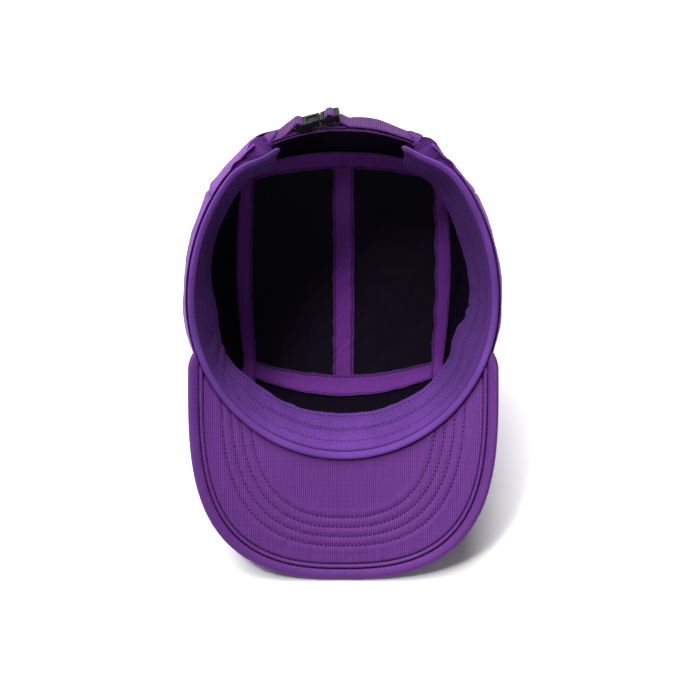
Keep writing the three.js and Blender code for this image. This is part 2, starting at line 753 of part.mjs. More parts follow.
// The buckle is drawn lying flat, x along the strap and z outwards, then stood up beside the strap
function standUp(solid) {
  const geometry = toGeometry(solid);
  geometry.rotateX(-Math.PI / 2);
  geometry.rotateZ(buckleTurn);
  const origin = strapPoint(buckleCentre, buckleLift);
  geometry.translate(origin.x, origin.y, strapWidth / 2);
  return geometry;
}

const slotSpan = strapWidth + 4 * gap;
const through = 3 * buckleThickness;

const slotOffset = (buckleBarWidth + buckleSlotWidth) / 2;

// Takes the faces of a bar down to its own thickness
function thinBar(body, bar) {
  const height = buckleThickness;
  const lift = (buckleBarThickness + height) / 2;
  const room = buckleBarWidth + buckleSlotWidth;
  return body
    .subtract(slot(room, height, slotSpan, bar, lift))
    .subtract(slot(room, height, slotSpan, bar, -lift));
}

function buckleSocket() {
  const length = buckleLength - buckleFrameLength - gap;
  const middle = (length - buckleLength) / 2;
  const body = block(length, buckleThickness, buckleWidth, middle, 0);
  const window = slot(0.42 * length, 2 * buckleRecess, 0.5 * buckleWidth, middle + 0.2 * length, buckleThickness / 2);
  const slotted = body.subtract(slot(buckleSlotWidth, through, slotSpan, anchorBar + slotOffset, 0));
  return thinBar(slotted, anchorBar).subtract(window);
}

function buckleFrame() {
  const body = block(buckleFrameLength, buckleThickness, buckleWidth, adjusterBar, 0);
  const slotted = body
    .subtract(slot(buckleSlotWidth, through, slotSpan, adjusterBar - slotOffset, 0))
    .subtract(slot(buckleSlotWidth, through, slotSpan, adjusterBar + slotOffset, 0));
  return thinBar(slotted, adjusterBar);
}

// Cloth loop at one end of the strap, round both layers of webbing
function strapLoop(side) {
  const roomDepth = strapThickness + layerSpacing + 3 * gap;
  const roomHeight = strapWidth + 2 * gap;
  const outline = roundedBox(roomDepth + 2 * loopWall, roomHeight + 2 * loopWall, loopWall);
  outline.holes.push(roundedBox(roomDepth, roomHeight, gap));
  const geometry = raise(outline, loopLength);
  geometry.translate(0, 0, -loopLength / 2);
  geometry.applyMatrix4(new THREE.Matrix4().makeBasis(vec(0, 1, 0), vec(0, 0, 1), vec(1, 0, 0)));
  geometry.rotateZ(-Math.asin((side * loopHalfSpan) / strapRadius));
  const centre = strapPoint(side * loopHalfSpan, layerSpacing / 2);
  geometry.translate(centre.x, centre.y, strapWidth / 2);
  return geometry;
}

function makeCrown() {
  const crown = new THREE.Group();
  crown.add(
    piece('front_panel', wallPanel('front', 16, 9), purpleCloth),
    piece('side_panel_left', wallPanel('left', 18, 9), purpleCloth),
    piece('side_panel_right', wallPanel('right', 18, 9), purpleCloth),
    piece('back_panel', backPanel(), purpleCloth),
    piece('top_panel_left', topPanel(topSeamShare, 0.5 - topSeamShare), purpleCloth),
    piece('top_panel_right', topPanel(0.5 + topSeamShare, 1 - topSeamShare), purpleCloth),
  );
  return crown;
}

function makeTapes() {
  const tapes = new THREE.Group();
  tapes.add(
    piece('seam_tape_left', sideTape('left'), tapeCloth),
    piece('seam_tape_right', sideTape('right'), tapeCloth),
    piece('seam_tape_front', frontTape(), tapeCloth),
    piece('seam_tape_back', backTape(), tapeCloth),
    piece('seam_tape_centre', centreTape(), tapeCloth),
  );
  return tapes;
}

function makePeak() {
  const group = new THREE.Group();
  group.add(piece('peak', peak(), peakCloth), piece('peak_under_panel', underPanel(), peakCloth));
  return group;
}

// The drawing's y points out of the back of the cap, and its webbing flares outwards as it rises
function makeStrap() {
  const strap = new THREE.Group();
  strap.add(
    piece('strap_inner_webbing', innerStrap(), webbing),
    piece('strap_adjuster_webbing', adjusterStrap(), webbing),
    piece('strap_anchor_webbing', anchorStrap(), webbing),
    piece('strap_loop_left', strapLoop(-1), purpleCloth),
    piece('strap_loop_right', strapLoop(1), purpleCloth),
    piece('buckle_socket', standUp(buckleSocket()), blackPlastic),
    piece('buckle_adjuster', standUp(buckleFrame()), blackPlastic),
  );
  strap.scale.set(1, -1, 1);
  const tilted = new THREE.Group();
  tilted.add(strap);
  tilted.rotation.x = radians(strapTilt);
  tilted.position.set(0, -strapReach, strapRise);
  return tilted;
}

function makeCap() {
  const cap = new THREE.Group();
  cap.add(makeCrown(), makeTapes(), piece('sweatband', sweatband(), bandCloth), makePeak(), makeStrap());
  cap.rotation.x = -(Math.PI / 2 + ground.lean);
  return cap;
}

// Stands the tipped cap on the ground, with the origin under the middle of its bounding box
const cap = makeCap();
cap.updateMatrixWorld(true);
const bounds = new THREE.Box3().setFromObject(cap, true);
const middle = bounds.getCenter(vec(0, 0, 0));
cap.position.set(-middle.x, -middle.y, -bounds.min.z);

const fivePanelCap = new THREE.Group();
fivePanelCap.name = 'five_panel_cap';
fivePanelCap.add(cap);

export default fivePanelCap;
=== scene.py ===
# Five-panel cap that lies tipped forward on the edge of its peak.
# Shapes are worked out in millimetres on the cap as it is worn, with z up through the crown and y
# towards the peak. toGround() tips them over and makePiece() turns them into metres.
import math
from functools import partial
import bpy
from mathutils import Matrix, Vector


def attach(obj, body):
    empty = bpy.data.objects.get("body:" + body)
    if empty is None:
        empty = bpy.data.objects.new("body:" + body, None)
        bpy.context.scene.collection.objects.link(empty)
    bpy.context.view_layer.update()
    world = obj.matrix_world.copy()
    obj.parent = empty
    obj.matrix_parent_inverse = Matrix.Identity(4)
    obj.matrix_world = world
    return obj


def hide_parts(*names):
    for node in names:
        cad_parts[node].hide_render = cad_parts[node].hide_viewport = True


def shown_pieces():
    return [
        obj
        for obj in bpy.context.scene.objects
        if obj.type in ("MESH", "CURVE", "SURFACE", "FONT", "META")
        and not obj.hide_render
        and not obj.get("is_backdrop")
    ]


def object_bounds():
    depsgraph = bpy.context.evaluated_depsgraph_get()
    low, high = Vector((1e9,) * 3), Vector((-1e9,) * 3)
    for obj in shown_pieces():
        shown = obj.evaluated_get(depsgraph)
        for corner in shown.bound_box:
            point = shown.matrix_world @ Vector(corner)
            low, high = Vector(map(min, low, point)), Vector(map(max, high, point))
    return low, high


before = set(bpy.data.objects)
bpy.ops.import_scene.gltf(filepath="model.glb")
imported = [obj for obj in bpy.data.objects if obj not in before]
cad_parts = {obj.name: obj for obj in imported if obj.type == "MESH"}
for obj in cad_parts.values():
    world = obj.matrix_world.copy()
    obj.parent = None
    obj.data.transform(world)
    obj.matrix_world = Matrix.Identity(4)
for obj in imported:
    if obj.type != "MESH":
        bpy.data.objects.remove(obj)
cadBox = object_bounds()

from types import SimpleNamespace

import bmesh
import bpy
import numpy as np
from mathutils import Vector
from mathutils.bvhtree import BVHTree

print("cap: frame loaded")

# How the cap is tipped over
tip = {"lean": 38.7162, "place": (0.7365, -2.1587, 108.1999)}
leanSine = math.sin(math.radians(tip["lean"]))
leanCosine = math.cos(math.radians(tip["lean"]))
downWorn = np.array([0, leanCosine, leanSine])
groundReach = tip["place"][2]
seamGap = 0.3
metres = 0.001
edgeRings = 3
detail = 1.0


def count(number):
    return int(number * detail)


def toGround(points):
    x, y, z = points[..., 0], points[..., 1], points[..., 2]
    moved = [x, z * leanCosine - y * leanSine, -y * leanCosine - z * leanSine]
    return np.stack(moved, -1) + np.array(tip["place"])


def smooth(x, low, high):
    t = np.clip((np.asarray(x, float) - low) / (high - low), 0, 1)
    return t * t * (3 - 2 * t)


def bell(x):
    return np.exp(-np.square(x))


def hump(x, place, spread):
    return bell((x - place) / spread)


# Sum of humps from a table of (height, place, spread)
def humps(x, table):
    return sum(height * hump(x, place, spread) for height, place, spread in table)


def mixed(a, b, share):
    return a + (b - a) * np.asarray(share)[..., None]


def unit(vectors):
    return vectors / np.maximum(np.linalg.norm(vectors, axis=-1, keepdims=True), 1e-9)


def together(*values):
    return np.broadcast_arrays(*[np.asarray(v, float) for v in values])


# Smooth curve through pairs of (key, value)
def readCurve(pairs, at):
    keys, values = np.array(pairs, float).T
    slopes = np.gradient(values, keys)
    slopes[1:-1] = (values[2:] - values[:-2]) / (keys[2:] - keys[:-2])
    at = np.asarray(at, float)
    i = np.clip(np.searchsorted(keys, at) - 1, 0, len(keys) - 2)
    span = keys[i + 1] - keys[i]
    t = np.clip((at - keys[i]) / span, 0, 1)
    first = (2 * t**3 - 3 * t**2 + 1) * values[i] + (t**3 - 2 * t**2 + t) * span * slopes[i]
    return first + (3 * t**2 - 2 * t**3) * values[i + 1] + (t**3 - t**2) * span * slopes[i + 1]


# Soft noise from -1 to 1 that comes out the same on each run
def softNoise(x, y, seed):
    table = np.random.default_rng(seed).uniform(-1, 1, (64, 64))
    x, y = together(x, y)
    i, j = np.floor(x).astype(int), np.floor(y).astype(int)
    sx, sy = smooth(x - i, 0, 1), smooth(y - j, 0, 1)
    corner = lambda a, b: table[(i + a) % 64, (j + b) % 64]
    near = corner(0, 0) * (1 - sx) + corner(1, 0) * sx
    far = corner(0, 1) * (1 - sx) + corner(1, 1) * sx
    return near * (1 - sy) + far * sy


# Creases of thin cloth: soft ridges, sharper on their crests
def creases(x, y, seed):
    broad = softNoise(x, y, seed)
    return (1 - np.abs(softNoise(x * 1.7 + 5, y * 1.7, seed + 1))) ** 2 * 0.7 + 0.5 * broad - 0.3


def gridNormals(grid):
    return unit(np.cross(np.gradient(grid, axis=0), np.gradient(grid, axis=1)))


# Turns normals so that they face a place (side 1) or look away from it (-1)
def facing(normals, points, place, side):
    towards = np.mean(np.sum(normals * (np.array(place) - points), -1))
    return normals if towards * side > 0 else -normals


def runLengths(grid, axis):
    step = np.linalg.norm(np.diff(grid, axis=axis), axis=-1)
    first = np.zeros_like(np.take(step, [0], axis=axis))
    return np.concatenate([first, np.cumsum(step, axis=axis)], axis=axis)


def lineRun(line):
    return np.cumsum(np.r_[0, np.linalg.norm(np.diff(line, axis=0), axis=-1)])


def sampleGrid(grid, rows, columns):
    i = np.clip(np.floor(rows).astype(int), 0, grid.shape[0] - 2)
    j = np.clip(np.floor(columns).astype(int), 0, grid.shape[1] - 2)
    a, b = (rows - i)[:, None], (columns - j)[:, None]
    low = grid[i, j] * (1 - b) + grid[i, j + 1] * b
    high = grid[i + 1, j] * (1 - b) + grid[i + 1, j + 1] * b
    return low * (1 - a) + high * a


# Stations from 0 to 1 that crowd round the given places
def crowded(number, places, width, boost):
    fine = np.linspace(0, 1, 4001)
    run = np.cumsum(1 + boost * sum(hump(fine, p, width) for p in places))
    return np.interp(np.linspace(run[0], run[-1], number), run, fine)


# Shortest distance in plan from each point of a grid to a line, worked out a stretch at a time
def distanceTo(points, line, stretch=40):
    nearest = np.full(points.shape[:-1], 1e9)
    for k in range(0, len(line) - 1, stretch):
        step = np.diff(line[k:k + stretch + 1, :2], axis=0)
        gap = points[..., None, :2] - line[k:k + len(step), :2]
        share = np.clip(np.sum(gap * step, -1) / np.maximum(np.sum(step**2, -1), 1e-9), 0, 1)
        nearest = np.minimum(nearest, np.min(np.linalg.norm(gap - share[..., None] * step, axis=-1), -1))
    return nearest


def addObject(name, data):
    added = bpy.data.objects.new(name, data)
    bpy.context.scene.collection.objects.link(added)
    return added


def vertexPlaces(mesh):
    places = np.zeros(len(mesh.vertices) * 3, np.float32)
    mesh.vertices.foreach_get("co", places)
    return places.reshape(-1, 3)


# Blender object from worn points, with its cloth coordinates in millimetres and its crease mark, which paints shade
# into creases and a highlight onto ridges
def makePiece(name, points, faces, material, slot, clothUv=None, crease=None, plain=None):
    places = toGround(points) * metres
    places[:, 2] = np.maximum(places[:, 2], 0.01 * metres)
    mesh = bpy.data.meshes.new(name)
    mesh.from_pydata(places.tolist(), [], faces.tolist() if hasattr(faces, "tolist") else faces)
    mesh.validate()
    if clothUv is not None:
        corners = np.zeros(len(mesh.loops), np.int32)
        mesh.loops.foreach_get("vertex_index", corners)
        layer = mesh.uv_layers.new(name="cloth")
        layer.data.foreach_set("uv", clothUv[corners].astype(np.float32).ravel())
    # The crease mark is painted shade where it is above 0 and a painted highlight where it is below 0
    for label, values in (("crease", crease), ("plain", plain)):
        values = np.zeros(len(points)) if values is None else values
        attribute = mesh.attributes.new(label, "FLOAT", "POINT")
        attribute.data.foreach_set("value", np.asarray(values, np.float32).ravel())
    mesh.shade_smooth()
    mesh.materials.append(material)
    piece = addObject(name, mesh)
    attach(piece, "root")
    return piece


def quadStrip(a, b, c, d):
    return np.stack([a, b, c, d], -1).reshape(-1, 4)


# Closed cloth between an outer and an inner grid, with its cut or folded edge rounded
def clothShell(outer, inner, bulge):
    rows, columns = outer.shape[:2]
    index = np.arange(rows * columns).reshape(rows, columns)
    quads = quadStrip(index[:-1, :-1], index[1:, :-1], index[1:, 1:], index[:-1, 1:])
    edge = np.concatenate([index[:, 0], index[-1, 1:], index[-2::-1, -1], index[0, -2:0:-1]])
    inward = np.concatenate([index[:, 1], index[-2, 1:], index[-2::-1, -2], index[1, -2:0:-1]])
    flatOuter, flatInner = outer.reshape(-1, 3), inner.reshape(-1, 3)
    middle = (flatOuter + flatInner) / 2
    reach = unit(middle[edge] - middle[inward])
    thickness = np.linalg.norm(flatOuter[edge] - flatInner[edge], axis=-1, keepdims=True)
    points, faces = [flatOuter, flatInner], [quads, quads[:, ::-1] + rows * columns]
    previous = edge
    for k in range(edgeRings):
        share = (k + 1) / (edgeRings + 1)
        ring = flatOuter[edge] * (1 - share) + flatInner[edge] * share
        points.append(ring + reach * thickness * bulge * math.sin(math.pi * share))
        current = np.arange(len(edge)) + 2 * rows * columns + k * len(edge)
        faces.append(quadStrip(np.roll(previous, -1), previous, current, np.roll(current, -1)))
        previous = current
    last = edge + rows * columns
    faces.append(quadStrip(np.roll(previous, -1), previous, last, np.roll(last, -1)))
    points, faces = np.concatenate(points), np.concatenate(faces)
    a, b, c, d = np.moveaxis(points[faces], 1, 0)
    volume = np.sum(a * (np.cross(b, c) + np.cross(c, d)))
    return points, faces[:, ::-1] if volume < 0 else faces, edge


# Gives what is known for one grid to the whole shell: both faces and the rings between them
def overShell(values, edge):
    if values is None:
        return None
    flat = values.reshape(-1, *values.shape[2:])
    return np.concatenate([flat, flat] + [flat[edge]] * edgeRings)


def makeCloth(name, outer, inner, material, slot, clothUv, crease=None, plain=None, bulge=0.5):
    points, faces, edge = clothShell(outer, inner, bulge)
    marks = [overShell(values, edge) for values in (clothUv, crease, plain)]
    return makePiece(name, points, faces, material, slot, *marks)


# Place along a stitch as a share of its half length, and thickness there
threadRings = [(-1, 0.4), (-0.55, 1), (0.55, 1), (1, 0.4)]
threadSides = 5


# Row of stitches along a line: short threads that dip into the cloth at both ends
def stitchRun(line, normals, pitch, share, width, lift):
    along = lineRun(line)
    number = max(int(along[-1] / pitch), 1)
    centres = (np.arange(number) + 0.5) * along[-1] / number
    at = lambda values, where: np.stack([np.interp(where, along, values[:, k]) for k in range(3)], -1)
    heading = unit(at(line, centres + 0.3) - at(line, centres - 0.3))
    up = unit(at(normals, centres))
    axes = np.stack([heading, unit(np.cross(up, heading)), up], 1)
    local = []
    for t, thick in threadRings:
        for turn in np.arange(threadSides) / threadSides * 2 * math.pi:
            side, rise = width / 2 * thick * math.cos(turn), width / 2 * thick * math.sin(turn)
            local.append((pitch * share / 2 * t, side, rise + lift - 0.55 * width * t * t))
    points = at(line, centres)[:, None] + np.einsum("kc,ncd->nkd", np.array(local), axes)
    ring, nextRing = np.arange(threadSides), np.roll(np.arange(threadSides), -1)
    one = [quadStrip(ring, nextRing, nextRing + threadSides, ring + threadSides) + r * threadSides for r in range(3)]
    one = np.concatenate(one).tolist() + [ring[::-1].tolist(), (ring + 3 * threadSides).tolist()]
    faces = [[start + k for k in face] for start in range(0, points.shape[0] * len(local), len(local)) for face in one]
    return points.reshape(-1, 3), faces


# stitch holds the pitch, the share of it that is thread, the thread's width and how far it stands up
def sew(name, runs, material, slot, stitch):
    points, faces, start = [], [], 0
    for line, normals in runs:
        p, f = stitchRun(line, normals, *stitch)
        points.append(p)
        faces += [[start + k for k in face] for face in f]
        start += len(p)
    return makePiece(name, np.concatenate(points), faces, material, slot)


# Materials
def startMaterial(name, colour, roughness, uniform):
    material = bpy.data.materials.new(name)
    material.use_nodes = True
    tree = material.node_tree
    shader = tree.nodes["Principled BSDF"]
    shader.inputs["Base Color"].default_value = (*colour, 1)
    shader.inputs["Roughness"].default_value = roughness
    for socket, value in uniform.items():
        shader.inputs[socket].default_value = value
    material.diffuse_color = (*colour, 1)

    def put(value, socket):
        if isinstance(value, bpy.types.NodeSocket):
            tree.links.new(value, socket)
        else:
            socket.default_value = value

    def calc(operation, *values, clamp=False):
        node = tree.nodes.new("ShaderNodeMath")
        node.operation, node.use_clamp = operation, clamp
        for value, socket in zip(values, node.inputs):
            put(value, socket)
        return node.outputs[0]

    def mix(share, a, b):
        node = tree.nodes.new("ShaderNodeMix")
        node.data_type = "RGBA"
        put(share, node.inputs[0])
        for value, socket in ((a, node.inputs[6]), (b, node.inputs[7])):
            put(value if isinstance(value, bpy.types.NodeSocket) else (*value, 1), socket)
        return node.outputs[2]

    def noise(scale, detail, place=None, stretch=None):
        node = tree.nodes.new("ShaderNodeTexNoise")
        node.inputs["Scale"].default_value = scale
        node.inputs["Detail"].default_value = detail
        if place is None:
            place = tree.nodes.new("ShaderNodeTexCoord").outputs["Object"]
        if stretch is not None:
            mapping = tree.nodes.new("ShaderNodeMapping")
            mapping.inputs["Scale"].default_value = stretch
            tree.links.new(place, mapping.inputs[0])
            place = mapping.outputs[0]
        tree.links.new(place, node.inputs["Vector"])
        return node.outputs[0]

    def clothPlace():
        node = tree.nodes.new("ShaderNodeUVMap")
        node.uv_map = "cloth"
        split = tree.nodes.new("ShaderNodeSeparateXYZ")
        tree.links.new(node.outputs[0], split.inputs[0])
        return node.outputs[0], split.outputs[0], split.outputs[1]

    def mark(label):
        node = tree.nodes.new("ShaderNodeAttribute")
        node.attribute_name = label
        return node.outputs["Fac"]

    def finish(colourOut, roughnessOut, height, depth):
        put(colourOut, shader.inputs["Base Color"])
        put(roughnessOut, shader.inputs["Roughness"])
        bump = tree.nodes.new("ShaderNodeBump")
        bump.inputs["Distance"].default_value = depth
        bump.inputs["Strength"].default_value = 1.0
        put(height, bump.inputs["Height"])
        tree.links.new(bump.outputs[0], shader.inputs["Normal"])
        return material

    return SimpleNamespace(
        calc=calc, mix=mix, noise=noise, clothPlace=clothPlace, mark=mark, finish=finish,
        times=partial(calc, "MULTIPLY"), plus=partial(calc, "ADD"), minus=partial(calc, "SUBTRACT"))


def srgb(red, green, blue):
    return tuple((c / 255 / 12.92) if c < 11 else ((c / 255 + 0.055) / 1.055) ** 2.4 for c in (red, green, blue))


def scaled(colour, factor):
    return tuple(min(c * factor, 1) for c in colour)


def sheen(weight, specular, roughness=0.4, blue=0.8):
    return {"Sheen Weight": weight, "Sheen Roughness": roughness, "Sheen Tint": (0.5, 0.2, blue, 1),
            "Specular IOR Level": specular}


# What all the cloths have unless they say otherwise. Pitches are in millimetres
commonCloth = {
    # creaseDepth: how far the painted shade in creases darkens the colour, towards shadeFactor
    "ribContrast": 0.5, "threadShare": 0.3, "slant": 0, "creaseDepth": 0.75, "patchScale": 26, "patchContrast": 0.5,
    "drift": 0.8, "driftScale": 0.09, "fuzz": 0.5, "fuzzScale": 2.2, "slub": 0.35, "slubStretch": (1.2, 0.05, 1),
    # The first share on the next line: how far the painted highlight on ridges pales the colour, towards paleFactor
    "ridgeHighlight": 0.35, "plainShare": 0.8, "roughnessSpread": 0.16,
    "darkFactor": 0.62, "lightFactor": 1.38, "shadeFactor": 0.1, "paleFactor": 1.5,
}


# Woven cloth with ribs: one set runs along v, a finer set of threads crosses it
def wovenCloth(name, colour, roughness, uniform, **own):
    look = {**commonCloth, **own}
    kit = startMaterial(name, colour, roughness, uniform)
    times, plus, minus, noise, mix = kit.times, kit.plus, kit.minus, kit.noise, kit.mix
    place, u, v = kit.clothPlace()
    crease = kit.mark("crease")
    centred = lambda value, factor: times(minus(value, 0.5), factor)
    wave = lambda value, pitch: kit.calc("SINE", times(value, 2 * math.pi / pitch))
    across = plus(u, times(v, look["slant"])) if look["slant"] else u
    rib = wave(plus(across, centred(noise(look["driftScale"], 2, place), look["drift"])), look["ribPitch"])
    ribShare = plus(times(rib, 0.5), 0.5)
    threadShare = look["threadShare"]
    threads = times(wave(v, look["threadPitch"]), 0.5 * threadShare)
    weave = plus(threads, plus(times(ribShare, 1 - threadShare), 0.5 * threadShare))
    quiet = minus(1.0, times(kit.mark("plain"), look["plainShare"]))
    light = plus(centred(weave, times(quiet, look["ribContrast"])), 0.5)
    light = plus(light, centred(noise(look["patchScale"], 3), look["patchContrast"]))
    light = plus(light, centred(noise(1.0, 2, place, look["slubStretch"]), look["slub"]), clamp=True)
    dark = look.get("dark", scaled(colour, look["darkFactor"]))
    base = mix(light, dark, look.get("light", scaled(colour, look["lightFactor"])))
    # Painted shade: the colour darkens where the crease mark is above 0
    base = mix(times(crease, look["creaseDepth"], clamp=True), base, scaled(colour, look["shadeFactor"]))
    # worn holds a painted highlight: the colour pales on ridges, where the crease mark is below 0
    worn = times(kit.calc("MAXIMUM", times(crease, -1.0), 0.0), look["ridgeHighlight"])
    base = mix(worn, base, scaled(colour, look["paleFactor"]))
    fuzz = noise(look["fuzzScale"], 4, place)
    rough = plus(roughness - look["roughnessSpread"] / 2, times(fuzz, look["roughnessSpread"]))
    height = plus(times(weave, quiet), times(fuzz, look["fuzz"]))
    return kit.finish(base, rough, height, look["bump"] * metres)


crownNylon = wovenCloth(
    "crown nylon", srgb(98, 42, 130), 0.6, sheen(0.1, 0.2), ribPitch=1.0, threadPitch=0.62, bump=0.12, ribContrast=0.8)
# Darker copy of the crown nylon for the hems and loops: painted shade
shadedHemNylon = wovenCloth(
    "folded hem nylon", srgb(70, 25, 98), 0.75, sheen(0.03, 0.2), ribPitch=1.3, threadPitch=0.8, bump=0.2,
    ribContrast=1.5)
peakNylon = wovenCloth(
    "peak nylon", srgb(82, 36, 108), 0.62, sheen(0.08, 0.18), ribPitch=1.15, threadPitch=2.8, threadShare=0.09,
    bump=0.16, ribContrast=1.25)
liningCloth = wovenCloth(
    "black lining", srgb(12, 8, 17), 0.5, {"Specular IOR Level": 0.07}, ribPitch=1.15, threadPitch=0.7, bump=0.1,
    creaseDepth=0.5, dark=srgb(8, 5, 11), light=srgb(22, 16, 32))
bandCloth = wovenCloth(
    "ribbed sweatband cloth", srgb(88, 49, 124), 0.85, sheen(0.12, 0.1, 0.5, 0.9), ribPitch=1.2, threadPitch=1.0,
    bump=0.34, ribContrast=1.5, slant=0.3, patchContrast=1.1, patchScale=38)
tapeCloth = wovenCloth(
    "seam tape cloth", srgb(104, 42, 136), 0.66, sheen(0.06, 0.2), ribPitch=0.62, threadPitch=0.5, bump=0.07,
    slant=1.0)
webbingCloth = wovenCloth(
    "ribbed webbing", srgb(76, 33, 97), 0.75, sheen(0.1, 0.18), ribPitch=1.1, threadPitch=0.7, bump=0.2,
    ribContrast=1.6, creaseDepth=0.85, dark=srgb(44, 17, 58), light=srgb(98, 46, 122))


def threadMaterial(name, colour):
    kit = startMaterial(name, colour, 0.7, {"Specular IOR Level": 0.12})
    twist = kit.noise(900, 2)
    shade = kit.mix(twist, scaled(colour, 0.7), scaled(colour, 1.25))
    return kit.finish(shade, kit.plus(0.5, kit.times(twist, 0.2)), twist, 0.1 * metres)


darkThread = threadMaterial("dark purple thread", srgb(13, 3, 23))
bandThread = threadMaterial("sweatband thread", srgb(26, 8, 48))
tapeThread = threadMaterial("tape thread", srgb(32, 8, 45))
crownThread = threadMaterial("crown thread", srgb(50, 19, 74))


def bucklePlastic():
    kit = startMaterial("black buckle plastic", srgb(14, 14, 18), 0.5, {"Specular IOR Level": 0.015})
    grain, cloud = kit.noise(1600, 3), kit.noise(60, 3)
    colour = kit.mix(cloud, srgb(10, 10, 14), srgb(19, 19, 24))
    return kit.finish(colour, kit.plus(0.34, kit.times(grain, 0.2)), grain, 0.06 * metres)


buckleBlack = bucklePlastic()
print("cap: materials ready")

# Rim of the crown, round the head opening
rim = {"halfWidth": 88, "frontReach": 90, "backReach": 105, "flatDepth": 8.5, "flatHalfWidth": 40}


def rimPoint(angle, depth):
    angle, depth = together(angle, depth)
    cosine = np.cos(angle)
    x = np.sin(angle) * (rim["halfWidth"] - depth)
    y = cosine * (np.where(cosine > 0, rim["frontReach"], rim["backReach"]) - depth)
    flat = np.clip(1 - (x / rim["flatHalfWidth"]) ** 2, 0, None) ** 2
    return np.stack([x, y + np.where(cosine > 0, 0, rim["flatDepth"] * flat), 0 * x], -1)


def rimOutward(angle):
    along = unit(rimPoint(angle + 0.02, 0) - rimPoint(angle - 0.02, 0))
    return np.stack([-along[..., 1], along[..., 0], 0 * along[..., 0]], -1)


def rimAngle(halfWidth, isFront=False):
    angle = math.asin(halfWidth / rim["halfWidth"])
    return angle if isFront else math.pi - angle


# How near an angle round the rim is to a place in degrees, from 0 to 1
def nearPlace(angle, place, width):
    turn = np.degrees(angle) - place
    return bell((turn - 360 * np.round(turn / 360)) / width)


# Crown: heights, the flat top and how the walls swell
crown = {
    "frontHeight": 92, "backHeight": 86, "topHalfWidth": 60, "topFrontReach": 68, "topBackReach": 78,
    "frontBow": 12, "backBow": 9, "sideBow": 3, "domeRise": 7, "wallSwell": 3.2,
    "frontSeamHalfWidth": 62, "backSeamHalfWidth": 73, "clothThickness": 1.2, "layer": 0.55, "leastLayer": 0.25,
    "creaseDepth": 0.95, "fineCreaseDepth": 0.16, "puckerDepth": 0.34, "seamShape": [(-0.75, 0, 0.9), (0.32, 3.2, 2.2)],
    "liningDepth": 0.72, "liningThickness": 0.4, "liningStart": 0.022, "wallRun": 98, "backRun": 190, "rowPower": 0.9,
    "stitchInset": 2.2, "stitch": (2.6, 0.62, 0.38, 0.0),
}
leanProfile = [(0, 0), (0.12, 0.02), (0.27, 0.08), (0.45, 0.22), (0.62, 0.42), (0.78, 0.65), (0.9, 0.84), (1, 1)]
swellProfile = [(0, 0), (0.12, 0.66), (0.27, 1), (0.45, 0.92), (0.62, 0.68), (0.78, 0.4), (0.9, 0.17), (1, 0)]
# Place in degrees from the front, width in degrees, depth as a share of the swell, reach up the wall
gathers = [
    (139, 2.4, -0.28, 0.34), (145, 2.4, 0.2, 0.3), (131, 3, -0.16, 0.4), (-138, 3, -0.25, 0.36),
    (-146, 2.6, 0.2, 0.3), (-96, 6, -0.2, 0.5), (88, 7, -0.14, 0.5),
]
# Place, height share, spread, tallness, depth
dents = [
    (118, 0.3, 44, 0.4, -1.1), (-136, 0.22, 22, 0.3, 0.5), (-90, 0.3, 30, 0.3, 0.3), (-72, 0.62, 16, 0.2, -0.42),
    (64, 0.5, 14, 0.22, -0.3), (112, 0.66, 18, 0.18, -0.34), (-118, 0.52, 16, 0.2, -0.26),
    (176, 0.74, 15, 0.14, -0.24), (180, 0.42, 40, 0.36, -0.6), (76, 0.3, 34, 0.4, -0.6),
    (-80, 0.2, 13, 0.24, 0.9), (82, 0.2, 12, 0.24, 0.35),
]
# Sharp pleats in the outer cloth beside the strap: place, width in degrees, depth in mm, reach up the wall
pleats = [
    (141, 1.5, -0.7, 0.12), (134.5, 1.4, -0.7, 0.12), (137.6, 1.8, 0.6, 0.16), (-140, 1.6, -0.6, 0.12),
    (-134, 1.8, -0.5, 0.14), (-137, 1.9, 0.6, 0.16),
]

frontSeam = rimAngle(crown["frontSeamHalfWidth"], True)
backSeam = rimAngle(crown["backSeamHalfWidth"])
# Each corner of the flat top: its side, and whether it is ahead
cornerSigns = {"frontRight": (1, 1), "backRight": (1, -1), "frontLeft": (-1, 1), "backLeft": (-1, -1)}
# Each wall: its angles on the rim, corners of the top, bow, way out, and seed
walls = {
    "front": ((-frontSeam, frontSeam), ("frontLeft", "frontRight"), "frontBow", (0, 1, 0), 11),
    "right": ((frontSeam, backSeam), ("frontRight", "backRight"), "sideBow", (1, 0, 0), 23),
    "back": ((backSeam, 2 * math.pi - backSeam), ("backRight", "backLeft"), "backBow", (0, -1, 0), 37),
    "left": ((-backSeam, -frontSeam), ("backLeft", "frontLeft"), "sideBow", (-1, 0, 0), 53),
}


def topCorner(name, depth):
    sideways, ahead = cornerSigns[name]
    depth = np.asarray(depth, float)
    reach = crown["topFrontReach"] - crown["frontBow"] if ahead > 0 else crown["topBackReach"] - crown["backBow"]
    return np.stack([sideways * (crown["topHalfWidth"] - depth), ahead * (reach - depth), 0 * depth], -1)


def topEdgeHeight(y):
    share = (y + crown["topBackReach"]) / (crown["topBackReach"] + crown["topFrontReach"])
    return crown["backHeight"] + (crown["frontHeight"] - crown["backHeight"]) * share


def topEdge(wall, u, depth):
    _, corners, bow, outward, _ = walls[wall]
    u, depth = together(u, depth)
    line = mixed(topCorner(corners[0], depth), topCorner(corners[1], depth), u)
    return line + (4 * u * (1 - u) * crown[bow])[..., None] * np.array(outward, float)


def clothRelief(angle, rise):
    gathered = sum(d * nearPlace(angle, p, w) * bell(rise / r) for p, w, d, r in gathers)
    dented = sum(d * nearPlace(angle, p, s) * hump(rise, h, t) for p, h, s, t, d in dents)
    return (gathered * smooth(rise, 0, 0.08) + dented * smooth(rise, 0.02, 0.36)) * smooth(1 - rise, 0, 0.12)


